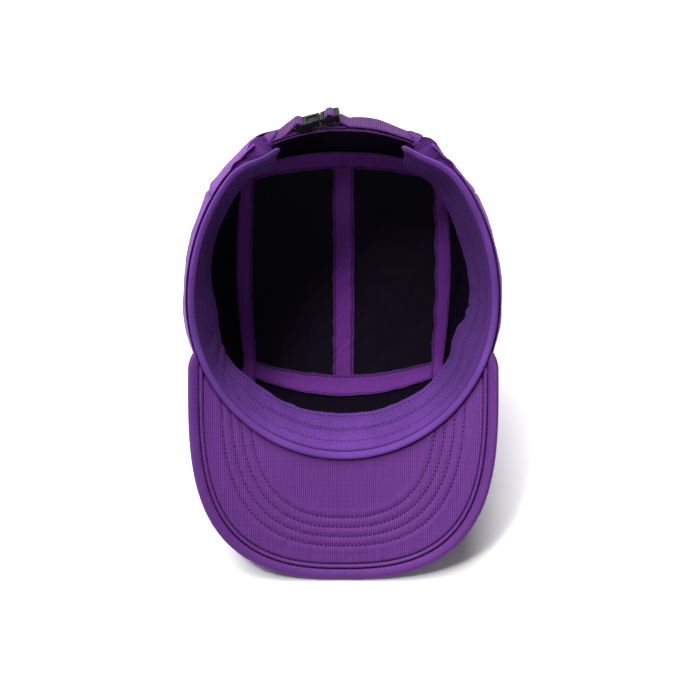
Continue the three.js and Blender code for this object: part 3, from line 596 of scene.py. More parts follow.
def wallAngle(wall, u):
    low, high = walls[wall][0]
    return low + (high - low) * np.asarray(u, float)


# Flattens cloth where it would go through the ground
def press(points, depth):
    below = points @ downWorn - (groundReach - np.maximum(depth, 0.02))
    return points - np.maximum(below, 0)[..., None] * downWorn


def aboveGround(points):
    return groundReach - points @ downWorn


def wallPoint(wall, u, rise, depth):
    u, rise, depth = together(u, rise, depth)
    angle = wallAngle(wall, u)
    top = topEdge(wall, u, depth)
    points = mixed(rimPoint(angle, depth), top, readCurve(leanProfile, rise))
    swell = readCurve(swellProfile, rise) + clothRelief(angle, rise)
    points = points + (crown["wallSwell"] * swell)[..., None] * rimOutward(angle)
    points[..., 2] = (topEdgeHeight(top[..., 1]) - depth) * rise
    return press(points, depth)


def topPoint(across, along, depth):
    across, along, depth = together(across, along, depth)
    sides = mixed(topEdge("left", along, depth), topEdge("right", 1 - along, depth), across)
    ends = mixed(topEdge("back", 1 - across, depth), topEdge("front", across, depth), along)
    backLine = mixed(topCorner("backLeft", depth), topCorner("backRight", depth), across)
    frontLine = mixed(topCorner("frontLeft", depth), topCorner("frontRight", depth), across)
    points = sides + ends - mixed(backLine, frontLine, along)
    dome = 16 * across * (1 - across) * along * (1 - along)
    points[..., 2] = topEdgeHeight(points[..., 1]) - depth + crown["domeRise"] * np.maximum(dome, 0) ** 0.8
    return press(points, depth)


# Outline of the opening over the strap
arch = {"halfWidth": 49, "height": 36, "power": 3.2, "hemShare": 0.1, "rowWeight": 45, "evenness": 0.55}


def archLine(number):
    turn = np.linspace(0, math.pi, number)
    x = arch["halfWidth"] * np.sign(np.cos(turn)) * np.abs(np.cos(turn)) ** (2 / arch["power"])
    z = arch["height"] * np.abs(np.sin(turn)) ** (2 / arch["power"])
    riseAt = lambda u: z / topEdgeHeight(topEdge("back", u, 0)[..., 1])
    low, high = np.zeros(number), np.ones(number)
    for _ in range(40):
        u = (low + high) / 2
        tooFarRight = wallPoint("back", u, riseAt(u), 0)[..., 0] > x
        low, high = np.where(tooFarRight, u, low), np.where(tooFarRight, high, u)
    u = (low + high) / 2
    return u, riseAt(u)


# Stations of a wall as shares (u, rise). The back wall starts at the arch where the arch is cut out of it
def wallStations(wall, columns, rows, start):
    margin = 0.0008
    span = 1 - 2 * margin
    rise = (start + (1 - start) * np.linspace(0, 1, rows) ** crown["rowPower"]) * 0.998
    if wall != "back":
        return np.meshgrid(np.linspace(margin, 1 - margin, columns), rise, indexing="ij")
    archU, archRise = archLine(columns // 2)
    side = columns // 4
    besideU = np.linspace(margin, archU[0], side)[:-1], np.linspace(archU[-1], 1 - margin, side)[1:]
    lowU = np.concatenate([besideU[0], archU, besideU[1]])
    lowRise = np.pad(archRise, side - 1)
    reach = np.cumsum(np.r_[0, np.hypot(np.diff(lowU) * crown["backRun"], np.diff(lowRise) * arch["rowWeight"])])
    even = arch["evenness"]
    highU = margin + span * (even * reach / reach[-1] + (1 - even) * (lowU - margin) / span)
    share = rise[None] / rise[-1]
    return lowU[:, None] + (highU - lowU)[:, None] * share, lowRise[:, None] + (rise[-1] - lowRise)[:, None] * share


# Height of the seams over a panel: a valley at the seam, a full ridge beside it and puckers across it
def seamRelief(distance, along, seed):
    pucker = crown["puckerDepth"] * softNoise(along / 4.5, distance / 9, seed) * bell(distance / 8)
    return humps(distance, crown["seamShape"]) + pucker


def panelSurface(base, along, across, seams, seed, inside):
    normals = facing(gridNormals(base), base, (0, -5, 40), -1)
    relief, crease = np.zeros(base.shape[:2]), np.zeros(base.shape[:2])
    for k, (distance, run) in enumerate(seams):
        relief += seamRelief(distance, run, seed + k)
        # Painted shade along the seam valleys
        crease = np.maximum(crease, bell(distance / 1.1))
    relief += crown["creaseDepth"] * creases(along / 26, across / 34, seed + 20) * smooth(across, 0, 14)
    relief += crown["fineCreaseDepth"] * creases(along / 9, across / 11, seed + 30)
    if inside:
        relief = -0.5 * np.abs(relief) - 0.35 * creases(along / 13, across / 17, seed + 40)
        relief = np.clip(relief, -0.6, 0.15)
    relief *= smooth(aboveGround(base), 0.4, 4)
    # The crease mark returned also holds a painted highlight on raised relief
    return base + relief[..., None] * normals, normals, crease - 0.25 * np.clip(relief, 0, 1)


def wallSurface(wall, depth, columns, rows, inside=False):
    start = (arch["hemShare"] if wall == "back" else crown["liningStart"]) if inside else 0.0
    u, rise = wallStations(wall, columns, rows, start)
    base = wallPoint(wall, u, rise, depth)
    width = np.linalg.norm(wallPoint(wall, 1, 0.6, 0) - wallPoint(wall, 0, 0.6, 0)) * 1.08
    along, up = u * width, rise * crown["wallRun"]
    seams = [(along, up), (width - along, up), (crown["wallRun"] - up, along)]
    surface, normals, crease = panelSurface(base, along, up, seams, walls[wall][4], inside)
    surface = mixed(base, surface, 0.35 + 0.65 * smooth(rise, 0, 0.07))
    if not inside:
        angle = wallAngle(wall, u)
        pleated = sum(d * nearPlace(angle, p, w) * bell(rise / r) for p, w, d, r in pleats)
        surface = surface + pleated[..., None] * normals
        # Painted shade in the pleat folds
        crease = np.maximum(crease, np.clip(-pleated * 0.6, 0, 1))
    run = u * crown["backRun"] if wall == "back" else runLengths(base, 0)
    return surface, normals, crease, np.stack([run, up], -1)


def topSurface(side, depth, columns, rows, inside=False):
    margin = 0.0012
    span = (margin, 0.5 - margin) if side == "left" else (0.5 + margin, 1 - margin)
    across, along = np.meshgrid(np.linspace(*span, columns), np.linspace(0.001, 0.999, rows), indexing="ij")
    base = topPoint(across, along, depth)
    wide, deep = 2 * crown["topHalfWidth"], crown["topFrontReach"] + crown["topBackReach"]
    x, y = across * wide, along * deep
    seams = [(x if side == "left" else wide - x, y), (np.abs(x - wide / 2), y), (y, x), (deep - y, x)]
    surface, normals, crease = panelSurface(base, x, y, seams, 71 if side == "left" else 89, inside)
    return surface, normals, crease, np.stack([x, y], -1)


# Grid lines that the topstitching of a panel follows, at shares of its columns and rows
def stitchLines(columns, rows, columnsAt, rowsAt):
    fromTo = lambda limit: np.linspace(limit * 0.015, limit * 0.985, 90)
    lines = [(np.full(90, c * (columns - 1)), fromTo(rows - 1)) for c in columnsAt]
    return lines + [(fromTo(columns - 1), np.full(90, r * (rows - 1))) for r in rowsAt]


seamThreads = []


def crownPanel(node, surfaceOf, columns, rows, columnsAt, rowsAt):
    outer, normals, crease, clothUv = surfaceOf(0.0, columns, rows)
    inner = surfaceOf(crown["layer"], columns, rows)[0]
    least = crown["leastLayer"]
    tooThin = np.sum((outer - inner) * normals, -1) < least
    inner = np.where(tooThin[..., None], outer - least * normals, inner)
    piece = makeCloth(node + "_cloth", outer, inner, crownNylon, "crown_cloth", clothUv, crease, bulge=0.6)
    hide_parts(node)
    near, away, nearShading, nearUv = surfaceOf(crown["liningDepth"], count(70), count(52), inside=True)
    far = near - crown["liningThickness"] * away
    makeCloth(node + "_lining", near, far, liningCloth, "crown_cloth", nearUv, nearShading)
    for line in stitchLines(*outer.shape[:2], columnsAt, rowsAt):
        grid, up = sampleGrid(outer, *line), sampleGrid(normals, *line)
        keep = aboveGround(grid) > 0.6
        if keep.sum() > 4:
            seamThreads.append((grid[keep], up[keep]))


for wall in walls:
    node = {"front": "front_panel", "back": "back_panel"}.get(wall, "side_panel_" + wall)
    isBack = wall == "back"
    beside = crown["stitchInset"] / (128 if wall == "front" else 150)
    below = (1 - crown["stitchInset"] / crown["wallRun"]) ** (1 / crown["rowPower"])
    crownPanel(node, partial(wallSurface, wall), count(158 if isBack else 112), count(70),
               (beside, 1 - beside), (below, 0.09 if isBack else 0.075))

for side in ("left", "right"):
    crownPanel("top_panel_" + side, partial(topSurface, side), count(70), count(134), (0.037, 0.963), (0.016, 0.984))

sew("crown_topstitching", seamThreads, crownThread, "crown_cloth", crown["stitch"])
print("cap: crown panels, lining and topstitching made")

# Seam tapes: bands of doubled cloth, stitched along both edges
tapes = {
    "width": 12.6, "frontExtra": 2.4, "backExtra": 1.8, "tuckHeight": 24, "edgeInset": 1.0, "pucker": 0.34,
    "edgeWave": 0.34, "reliefShape": [(-0.36, 1.0, 0.45), (0.2, 2.6, 1.4)], "rows": 23, "top": 0.55, "under": -0.15,
    "stitch": (1.9, 0.6, 0.46, 0.06),
}
halfTape = tapes["width"] / 2
lineDepth = crown["clothThickness"] + 2 * seamGap
riseRun = 10 * np.linalg.norm(wallPoint("right", 0.5, 1.0, 0) - wallPoint("right", 0.5, 0.9, 0))
tuckRise = tapes["tuckHeight"] / crown["backHeight"]
tapeThreads = []


# Millimetres as shares of a wall's upper edge, and of the top's length and width
def alongWall(wall, length):
    return length / lineRun(wallPoint(wall, np.linspace(0, 1, 13), 1.0, crown["clothThickness"]))[-1]


def alongTop(length):
    return length / np.linalg.norm(topPoint(0.5, 0, 0) - topPoint(0.5, 1, 0))


def acrossTop(length):
    return length / np.linalg.norm(topPoint(0, 0.5, 0) - topPoint(1, 0.5, 0))


def softened(lines):
    for _ in range(3):
        before = lines.copy()
        lines[1:-1] = before[:-2] * 0.25 + before[2:] * 0.25 + before[1:-1] * 0.5
    return lines


# More stations on a smooth curve through the given ones
def refined(places, run, stations):
    at = np.linspace(0, run[-1], stations)
    flat = places.reshape(len(places), -1)
    curves = [readCurve(np.stack([run, flat[:, k]], -1), at) for k in range(flat.shape[1])]
    return np.stack(curves, -1).reshape(stations, *places.shape[1:]), at


# lift sets which tape lies over which where they cross
def makeTape(node, lines, lift, seed, scallop=0.0):
    lines = softened(np.array(lines, float))
    lines, _ = refined(lines, lineRun(lines[:, 1]), count(205))
    inset = tapes["edgeInset"]
    stations = crowded(tapes["rows"], (inset / tapes["width"], 1 - inset / tapes["width"]), 0.035, 3)
    v = stations[None, :, None]
    first, seam, second = (lines[:, k][:, None] for k in range(3))
    base = first * (1 - v) ** 2 + seam * 2 * v * (1 - v) + second * v**2
    normals = facing(gridNormals(base), base, (0, 0, 43), 1)
    run, across = runLengths(base, 0), runLengths(base, 1)
    fromFar = across[:, -1:] - across
    toEdge = np.minimum(across, fromFar)
    sideways = unit(np.gradient(base, axis=1))
    flap = scallop * np.sin(run / 3.1) * bell(fromFar / 2.0)
    base = base + (flap + tapes["edgeWave"] * softNoise(run / 5.5, across / 30, seed))[..., None] * sideways
    puckers = tapes["pucker"] * softNoise((run + across * 0.9) / 2.6, across / 14, seed)
    relief = humps(toEdge, tapes["reliefShape"]) + puckers * (0.35 + 0.65 * hump(toEdge, 1.5, 2.6))
    relief = relief + 0.22 * creases(run / 16, across / 12, seed + 3)
    top = base + (lift + tapes["top"] + relief)[..., None] * normals
    under = base + (lift + tapes["under"]) * normals
    # Painted shade at the stitch rows and the tape edges, and a painted highlight on raised relief
    crease = 0.85 * hump(toEdge, inset, 0.45) - 0.3 * np.clip(relief, 0, 1) + 0.5 * bell(toEdge / 0.35)
    piece = makeCloth(node + "_cloth", top, under, tapeCloth, "seam_tape", np.stack([run, across], -1), crease)
    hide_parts(node)
    for share in (inset / tapes["width"], 1 - inset / tapes["width"]):
        row = np.interp(share, stations, np.arange(tapes["rows"]))
        at = np.linspace(3, len(top) - 4, 240), np.full(240, row)
        tapeThreads.append((sampleGrid(top, *at), sampleGrid(normals, *at)))


def sideTape(side):
    isRight = side == "right"
    climb = [(0.0, r) for r in np.linspace(tuckRise, 1, 9)]
    run = [(u, 1.0) for u in np.linspace(0, 1 - alongWall(side, halfTape + seamGap), 21)[1:]]
    onWall = lambda u: u if isRight else 1 - u
    onFront, onTop = alongWall("front", halfTape), acrossTop(halfTape)
    lines = []
    for u, rise in climb + run:
        wallU = onWall(max(u, alongWall(side, halfTape)))
        onSide = wallPoint(side, wallU, min(rise, 1 - halfTape / riseRun), lineDepth)
        seam = wallPoint(side, onWall(u), rise, lineDepth)
        if rise < 1:
            other = wallPoint("front", 1 - onFront if isRight else onFront, rise, lineDepth)
        else:
            other = topPoint(1 - onTop if isRight else onTop, 1 - u, lineDepth)
        lines.append([onSide, seam, other])
    return lines


def backTape():
    corner, lines = alongWall("back", halfTape), []
    climb = [(0.0, r) for r in np.linspace(tuckRise, 1, 8)]
    run = [(u, 1.0) for u in np.linspace(0, 1, 19)[1:-1]]
    descent = [(1.0, r) for r in np.linspace(1, tuckRise, 8)]
    below = 1 - (halfTape + tapes["backExtra"] / 2) / riseRun
    for u, rise in climb + run + descent:
        onBack = wallPoint("back", min(max(u, corner), 1 - corner), min(rise, below), lineDepth)
        seam = wallPoint("back", u, rise, lineDepth)
        if rise == 1:
            across = min(max(1 - u, acrossTop(halfTape)), 1 - acrossTop(halfTape))
            other = topPoint(across, alongTop(halfTape + tapes["backExtra"]), lineDepth)
        elif u < 0.5:
            other = wallPoint("right", 1 - alongWall("right", halfTape), rise, lineDepth)
        else:
            other = wallPoint("left", alongWall("left", halfTape), rise, lineDepth)
        lines.append([onBack, seam, other])
    return lines


def frontTape():
    margin = alongWall("front", halfTape - 2.5)
    below = 1 - halfTape / riseRun
    above = 1 - alongTop(halfTape + tapes["frontExtra"])
    return [[wallPoint("front", u, below, lineDepth), wallPoint("front", u, 1.0, lineDepth),
             topPoint(u, above, lineDepth)] for u in np.linspace(margin, 1 - margin, 17)]


def centreTape():
    margin, reach = alongTop(halfTape - 2.5), acrossTop(halfTape)
    return [[topPoint(0.5 + s * reach, a, lineDepth) for s in (-1, 0, 1)] for a in np.linspace(margin, 1 - margin, 13)]


makeTape("seam_tape_centre", centreTape(), -0.25, 5)
makeTape("seam_tape_front", frontTape(), 0.05, 6)
makeTape("seam_tape_back", backTape(), 0.15, 7)
makeTape("seam_tape_left", sideTape("left"), 0.42, 8, 0.1)
makeTape("seam_tape_right", sideTape("right"), 0.42, 9, 0.45)
sew("tape_stitching", tapeThreads, tapeThread, "seam_tape", tapes["stitch"])
print("cap: seam tapes made")

# Sweatband: a ribbed strip with a rolled lower edge, stitched along in rows
band = {
    "height": 33, "thickness": 2.0, "sideLean": 11, "frontLean": 15.4, "rollDrop": 4.6, "sideRollDrop": 1.2,
    "rollThickness": 3.4, "endHalfWidth": 36, "rollEnd": 0.14, "stitchRows": (0.4, 0.68, 0.93), "stepRise": 0.66,
    "rowShape": [(-0.4, 0, 0.018), (0.18, 0.05, 0.03), (0.18, -0.05, 0.03)], "creaseDepth": 0.75,
    "foldDepth": 0.6, "leftTrim": (0.054, 0.162), "rightTrim": (0.017, 0.123),
    "stitch": (2.5, 0.56, 0.8, 0.1), "rollStitch": (1.8, 0.6, 0.5, 0.3),
}
bandProfile = [(0, 0.0), (0.1, 0.05), (0.2, 0.17), (0.36, 0.31), (0.62, 0.57), (0.84, 0.84), (1, 1)]
# Where the band leans in more or less: place and spread in degrees, share
bandWaves = [
    (-84, 9, 0.26), (-60, 8, -0.16), (70, 9, 0.34), (92, 12, -0.1), (0, 26, 0.08), (112, 46, 0.2), (-112, 46, -0.36),
]
# Where the band folds across its width: place and spread in degrees, how strong
bandFolds = [(84, 12, 1.0), (-72, 9, 1.0), (-60, 6, 0.6), (70, 8, 0.7)]
loop = {"wall": 1.2, "length": 8, "halfSpan": 39.5, "slant": 3.0}
strap = {
    "width": 20, "thickness": 1.3, "radius": 100, "reach": 95.2, "rise": 1.6, "tilt": 8.5, "endHalfWidth": 42.2,
    "ribPitch": 1.1, "ribHeight": 0.2, "tailReach": 1.5, "bow": 0.7, "flare": -1.6,
}
bandEnd = rimAngle(band["endHalfWidth"])


def bandStrength(angle, table):
    return sum(strength * nearPlace(angle, place, width) for place, width, strength in table)


# How far in from the rim the band starts, and how near its end it is
def bandInset(angle):
    atEnd = smooth(np.abs(angle), bandEnd - 0.42, bandEnd - 0.06)
    room = 2 * loop["wall"] + 2 * strap["thickness"] + 5.5 * seamGap
    return crown["clothThickness"] + seamGap + room * atEnd, atEnd


def bandPoint(angle, rise, across, relief):
    inset, atEnd = bandInset(angle)
    low, high = [np.where(angle > 0, *ends) for ends in zip(band["rightTrim"], band["leftTrim"])]
    trim = low + (high - low) * rise
    angle = angle - np.sign(angle) * trim * smooth(np.abs(angle), bandEnd - 0.35, bandEnd)
    front = np.clip(np.cos(angle), 0, None) ** 2
    lean = band["sideLean"] + (band["frontLean"] - band["sideLean"]) * front
    lean = lean * (1 + bandStrength(angle, bandWaves)) * (1 - 0.22 * atEnd)
    roll = (band["rollThickness"] - band["thickness"]) * smooth(1 - rise, 0.84, 1) * (1 - 0.7 * atEnd)
    points = rimPoint(angle, inset + across * (band["thickness"] + roll) + relief)
    points = points - (readCurve(bandProfile, rise) * lean)[..., None] * rimOutward(angle)
    drop = band["sideRollDrop"] + (band["rollDrop"] - band["sideRollDrop"]) * smooth(np.cos(angle), 0.1, 0.45)
    points[..., 2] = -drop + (band["height"] + drop) * rise
    return points


def makeSweatband():
    groove, step = band["rollEnd"], band["stepRise"]
    rises = crowded(count(78), (0, groove, step, *band["stitchRows"], 1), 0.022, 4)
    angle, rise = np.meshgrid(np.linspace(-bandEnd, bandEnd, count(440)), rises, indexing="ij")
    flat = bandPoint(angle, rise, 1.0, 0)
    run, tall = runLengths(flat, 0), runLengths(flat, 1)
    run = run - run[len(run) // 2]
    clothUv = np.stack([run, tall], -1)
    relief = 0.5 * np.clip(np.sin(math.pi * np.clip(rise / groove, 0, 1)), 0, 1) ** 0.7 - 0.8 * hump(rise, groove, 0.022)
    relief = relief + 0.5 * smooth(rise, step - 0.022, step)
    # Painted shade in the groove above the roll and under the step
    crease = np.maximum(1.2 * hump(rise, groove + 0.008, 0.024), 0.7 * hump(rise, step - 0.022, 0.012))
    for row in band["stitchRows"]:
        relief = relief + humps(rise - row, band["rowShape"])
        # Painted shade along each stitch row
        crease = np.maximum(crease, 0.22 * hump(rise, row, 0.013))
    relief = relief + 0.16 * softNoise(run / 3.4, rise * 2.5, 61) * smooth(rise, groove, groove + 0.1)
    wrinkles = creases((run + 26 * rise) / 19, rise * 1.5, 67)
    relief = relief + band["creaseDepth"] * wrinkles * smooth(rise, groove, 0.5)
    # Painted shade: the band darkens towards its sides, away from the front
    sideShade = 0.58 * (1 - smooth(np.cos(angle), 0.3, 1.0))
    crease = np.maximum(crease, sideShade * smooth(rise, groove * 0.6, groove + 0.05))
    ripple = np.sin(run / 1.7 + 3 * softNoise(run / 11, rise * 0.8, 71)) * bandStrength(angle, bandFolds)
    ripple = ripple * smooth(rise, 0.2, 0.55)
    relief = relief + band["foldDepth"] * ripple * (0.6 + 0.4 * softNoise(run / 6, rise * 3, 73))
    # Painted shade in the fold valleys
    crease = np.maximum(crease, np.clip(-ripple * 0.35, 0, 1))
    # Painted highlight on the roll's crest and along the free edge
    crease = crease - 0.3 * hump(rise, groove * 0.45, 0.04) - 0.25 * hump(rise, 1, 0.02)
    edgeWave = 0.9 * softNoise(run / 12, 0.3, 79) + 0.4 * softNoise(run / 4, 0.3, 83)
    inner, outer = bandPoint(angle, rise, 1.0, relief), bandPoint(angle, rise, 0.0, 0.12)
    for grid in (inner, outer):
        grid[..., 2] += edgeWave * smooth(rise, 0.7, 1)
    onRoll = smooth(groove - rise, -0.01, 0.02) * 0.7
    piece = makeCloth("sweatband_cloth", inner, outer, bandCloth, "sweatband", clothUv, crease, onRoll)
    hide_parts("sweatband")
    normals = facing(gridNormals(inner), inner, (0, 0, 20), 1)
    along = np.linspace(6, len(inner) - 7, 900)

    def rowAt(share):
        row = np.full(900, np.interp(share, rises, np.arange(len(rises))))
        return sampleGrid(inner, along, row), sampleGrid(normals, along, row)

    sew("sweatband_stitching", map(rowAt, band["stitchRows"]), bandThread, "sweatband", band["stitch"])
    sew("sweatband_roll_stitching", [rowAt(groove)], bandThread, "sweatband", band["rollStitch"])


# Turned-in edge of the crown cloth that closes the space between the crown and the sweatband
rimHem = {"from": 62, "endHalfWidth": 43.0, "height": 0.7, "sag": 0.9, "pucker": 0.5, "lip": 2.6, "thickness": 0.35}


def makeRimHem(side):
    last, foot = rimAngle(rimHem["endHalfWidth"]), rimAngle(arch["halfWidth"])
    stations = np.linspace(math.radians(rimHem["from"]), last, count(190))
    angle, across = np.meshgrid(stations, np.linspace(0, 1, 13), indexing="ij")
    lip = rimHem["lip"] * smooth(angle, foot - 0.07, foot - 0.01) * smooth(last - angle, -0.02, 0.06)
    lip = lip * (1 - across) ** 2
    points = rimPoint(angle * side, 0.3 + (bandInset(angle)[0] + 0.5) * across - lip)
    run = runLengths(points, 0)
    pucker = rimHem["pucker"] * (softNoise(run / 1.7, across * 1.2, 121) + 0.6 * softNoise(run / 5, across * 2, 123))
    sag = rimHem["sag"] * across * (1 - across) * 2
    points[..., 2] = rimHem["height"] + sag + pucker * smooth(across, 0, 0.3) + 0.9 * lip
    upper = points + np.array([0, 0, rimHem["thickness"]])
    name = "rim_hem_" + ("right" if side > 0 else "left")
    # Painted shade towards the sweatband edge and on the puckers
    crease = 0.5 * smooth(across, 0.6, 1) + np.clip(pucker, 0, 1)
    makeCloth(name, points, upper, shadedHemNylon, "crown_cloth", np.stack([run, across * 8], -1), crease)


makeSweatband()
makeRimHem(-1)
makeRimHem(1)
print("cap: sweatband made")

# Peak: cloth-covered board with a wrapped edge, and the stitched panel let into its underside
peak = {
    "halfWidth": 86.4, "reach": 63.5, "slope": 15, "archDrop": 18.5, "thickness": 3.8, "cornerY": 28,
    "sidePower": 2.4, "frontPower": 3.6, "endAngle": 72, "noseRadius": 1.9, "wrapEnd": 5.9, "wrapLine": 6.0,
    "panelEdge": 8.55, "panelThickness": 0.85, "grooveDepth": 0.4, "cornerLength": 9, "cornerRound": 2.6,
    "underStitch": (2.45, 0.56, 0.8, 0.05), "topStitch": (2.45, 0.6, 0.45, 0.02), "edgeStitch": (2.45, 0.58, 0.62, 0.12),
}
# Rows of stitches on the peak: half width, and reach from the rim's front
peakRows = [(68.0, 45.2), (63.0, 40.2), (58.0, 35.2), (53.0, 30.0)]


def peakCurve(share, halfWidth, reach):
    turn = np.asarray(share, float) * math.pi / 2
    ahead = rim["frontReach"] + reach - peak["cornerY"]
    x = np.sign(turn) * halfWidth * np.abs(np.sin(turn)) ** (2 / peak["sidePower"])
    y = peak["cornerY"] + ahead * np.clip(np.cos(turn), 0, None) ** (2 / peak["frontPower"])
    return np.stack([x, y, 0 * x], -1)


def peakOutline(share):
    edge = peakCurve(share, peak["halfWidth"], peak["reach"])
    atCorner = np.clip(1 - (edge[..., 1] - peak["cornerY"]) / peak["cornerLength"], 0, 1)
    edge[..., 0] -= np.sign(edge[..., 0]) * peak["cornerRound"] * atCorner**2
    return edge


# Shares that lie evenly along the peak's outline
def peakStations(number, half=1.0):
    fine = np.linspace(-half, half, 20001)
    run = lineRun(peakOutline(fine))
    return np.interp(np.linspace(0, run[-1], number), run, fine)


def peakHeight(x, y):
    ahead = (rim["frontReach"] - y) * math.tan(math.radians(peak["slope"]))
    return ahead - peak["archDrop"] * (x / peak["halfWidth"]) ** 2


def peakPoint(share, reach, depth):
    share, reach, depth = together(share, reach, depth)
    root = rimPoint(share * math.radians(peak["endAngle"]), crown["clothThickness"])
    points = mixed(root, peakOutline(share), reach)
    rootHeight = peakHeight(root[..., 0], root[..., 1]) * (1 - reach) ** 2
    points[..., 2] = peakHeight(points[..., 0], points[..., 1]) - rootHeight - seamGap - depth
    return points


def insetOf(points):
    return distanceTo(points, peakOutline(peakStations(260)))


# How far along from the rim to the edge each inset lies, for each share; one row of insets for each share
def reachAtInset(share, insets):
    tries = np.concatenate([np.linspace(0, 0.8, 30), np.linspace(0.81, 1, 40)])
    depths = np.minimum.accumulate(insetOf(peakPoint(share[:, None], tries[None], 0)), axis=1)
    room = depths[:, :1]
    wanted = insets[None] * np.minimum(1, room / (insets[-1] + 0.4))
    return np.array([np.interp(-w, -d, tries) for w, d in zip(wanted, depths)]), room[:, 0]


def rowDistance(points):
    return np.min([distanceTo(points, peakCurve(peakStations(200), *row)) for row in peakRows], axis=0)


def makePeakCover():
    share = peakStations(count(264))
    radius, wrapLine = peak["noseRadius"], peak["wrapLine"]
    insets = np.concatenate([
        (1 - np.cos(np.linspace(0, math.pi / 2, 8))) * radius, np.linspace(2.5, 5.4, 6), np.linspace(5.6, 6.4, 7),
        np.linspace(6.8, 8.0, 5), [8.25, 8.45, 8.65, 9.2]])
    toEdge, room = reachAtInset(share, insets)
    reach = np.concatenate([toEdge, toEdge[:, -1:] * np.linspace(1, 0, count(42))[None, 1:]], 1)
    flat = peakPoint(share[:, None], reach, 0)
    inset, nearest, runs = insetOf(flat), rowDistance(flat), runLengths(flat, 0)
    nose = radius * (1 - np.sqrt(np.clip(1 - (1 - np.clip(inset, 0, radius) / radius) ** 2, 0, 1)))
    relief = humps(nearest, [(peak["grooveDepth"], 0, 0.8), (-0.12, 2.4, 1.5)])
    relief = relief + 0.5 * hump(inset, wrapLine, 0.5) - 0.1 * creases(runs / 22, reach * 2.2, 91)
    top = peakPoint(share[:, None], reach, nose + relief * smooth(inset, 1.5, 3))
    wrap = 0.75 * np.sin(math.pi * np.clip(inset / peak["wrapEnd"], 0, 1)) ** 0.8
    wrap = wrap + 0.16 * softNoise(runs / 2.6, inset / 5, 93) * hump(inset, 4.6, 2.4) - hump(inset, wrapLine, 0.36)
    wrap = wrap + 0.55 * np.sin(math.pi * np.clip((inset - 6.2) / 2.1, 0, 1))
    sunk = 1.25 * smooth(inset, 8.25, 8.6)
    low = peakPoint(share[:, None], reach, peak["thickness"] - nose + wrap * smooth(inset, 0, 1.5) - sunk)
    # Painted shade at the wrap line, the panel's edge and the stitch rows, and a painted highlight on the ridge between
    crease = humps(inset, [(0.8, wrapLine, 0.36), (0.8, 8.5, 0.34), (-0.3, 7.2, 0.6)]) + 0.5 * bell(nearest / 0.6)
    onWrap = (inset < 9).astype(float)
    piece = makeCloth("peak_cover", top, low, peakNylon, "peak_cloth", flat[..., :2], crease, onWrap, bulge=0.0)
    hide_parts("peak")
    return piece, np.abs(share[room > 9.4]).max()


# The panel under the peak, quilted a little by its rows of stitches
def makePeakUnder(wide):
    around = peakStations(count(270), wide)
    start = reachAtInset(around, np.array([0, peak["panelEdge"]]))[0][:, 1]
    reach = start[:, None] * np.concatenate([[1, 0.997, 0.993, 0.988], np.linspace(0.98, 0, count(72))])[None]
    flat = peakPoint(around[:, None], reach, 0)
    x, y, nearest = flat[..., 0], flat[..., 1], rowDistance(flat)
    runs, inwards = runLengths(flat, 0), runLengths(flat, 1)
    relief = humps(nearest, [(-peak["grooveDepth"], 0, 0.85), (0.2, 2.5, 1.4)])
    relief = relief + 0.16 * softNoise(runs / 2.8, inwards / 6, 95) * bell(nearest / 3) + 0.28 * creases(x / 30, y / 34, 97)
    relief = relief + 0.34 * softNoise(x / 1.7, y / 16, 98) * hump(inwards, 4, 6) * bell(x / 60)
    relief = relief - 0.55 * (1 - smooth(inwards, 0, 1.1))
    low = peakPoint(around[:, None], reach, peak["thickness"] + relief)
    top = peakPoint(around[:, None], reach, peak["thickness"] - peak["panelThickness"])
    # Painted shade along the stitch rows and at the inner edge, and a painted highlight on the puffs beside the rows
    crease = humps(nearest, [(0.1, 0, 0.7), (-0.2, 2.5, 1.2)]) + 0.8 * bell(inwards / 0.5)
    piece = makeCloth("peak_under_cloth", low, top, peakNylon, "peak_cloth", flat[..., :2], crease, bulge=0.3)
    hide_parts("peak_under_panel")
    return piece


# Drops lines of the peak's plan onto a made surface, from below (1) or above (-1)
def dropOnto(piece, lines, side):
    places, polygons = vertexPlaces(piece.data).tolist(), [tuple(f.vertices) for f in piece.data.polygons]
    tree = BVHTree.FromPolygons(places, polygons)
    ray = Vector((toGround(np.array([0, 0, 1.0])) - toGround(np.zeros(3))) * side)
    toWorn = lambda v: np.stack([
        v[:, 0], -v[:, 1] * leanSine - v[:, 2] * leanCosine, v[:, 1] * leanCosine - v[:, 2] * leanSine], -1)
    runs = []
    for line in lines:
        hits = [tree.ray_cast(Vector(toGround(np.array([x, y, -160.0 * side])) * metres), ray) for x, y, _ in line]
        hits = [hit for hit in hits if hit[0] is not None]
        points = toWorn(np.array([hit[0] for hit in hits]) / metres - np.array(tip["place"]))
        normals = toWorn(np.array([hit[1] for hit in hits]))
        runs.append((points, -normals if np.mean(normals[:, 2]) * side > 0 else normals))
    return runs


def outsideRim(line, margin):
    angle = np.arctan2(line[:, 0] / rim["halfWidth"], line[:, 1] / rim["frontReach"])
    edge = rimPoint(angle, -margin)
    return line[np.hypot(line[:, 0], line[:, 1]) > np.hypot(edge[:, 0], edge[:, 1])]


# Line of stitches along the edge of the peak, at an inset from it
def edgeRow(inset):
    share = peakStations(400, 0.992)
    reach, room = reachAtInset(share, np.array([0, inset]))
    line = peakPoint(share, reach[:, 1], peak["thickness"] - 0.45)[room > inset + 0.6]
    return line, np.tile([0, 0, -1.0], (len(line), 1))


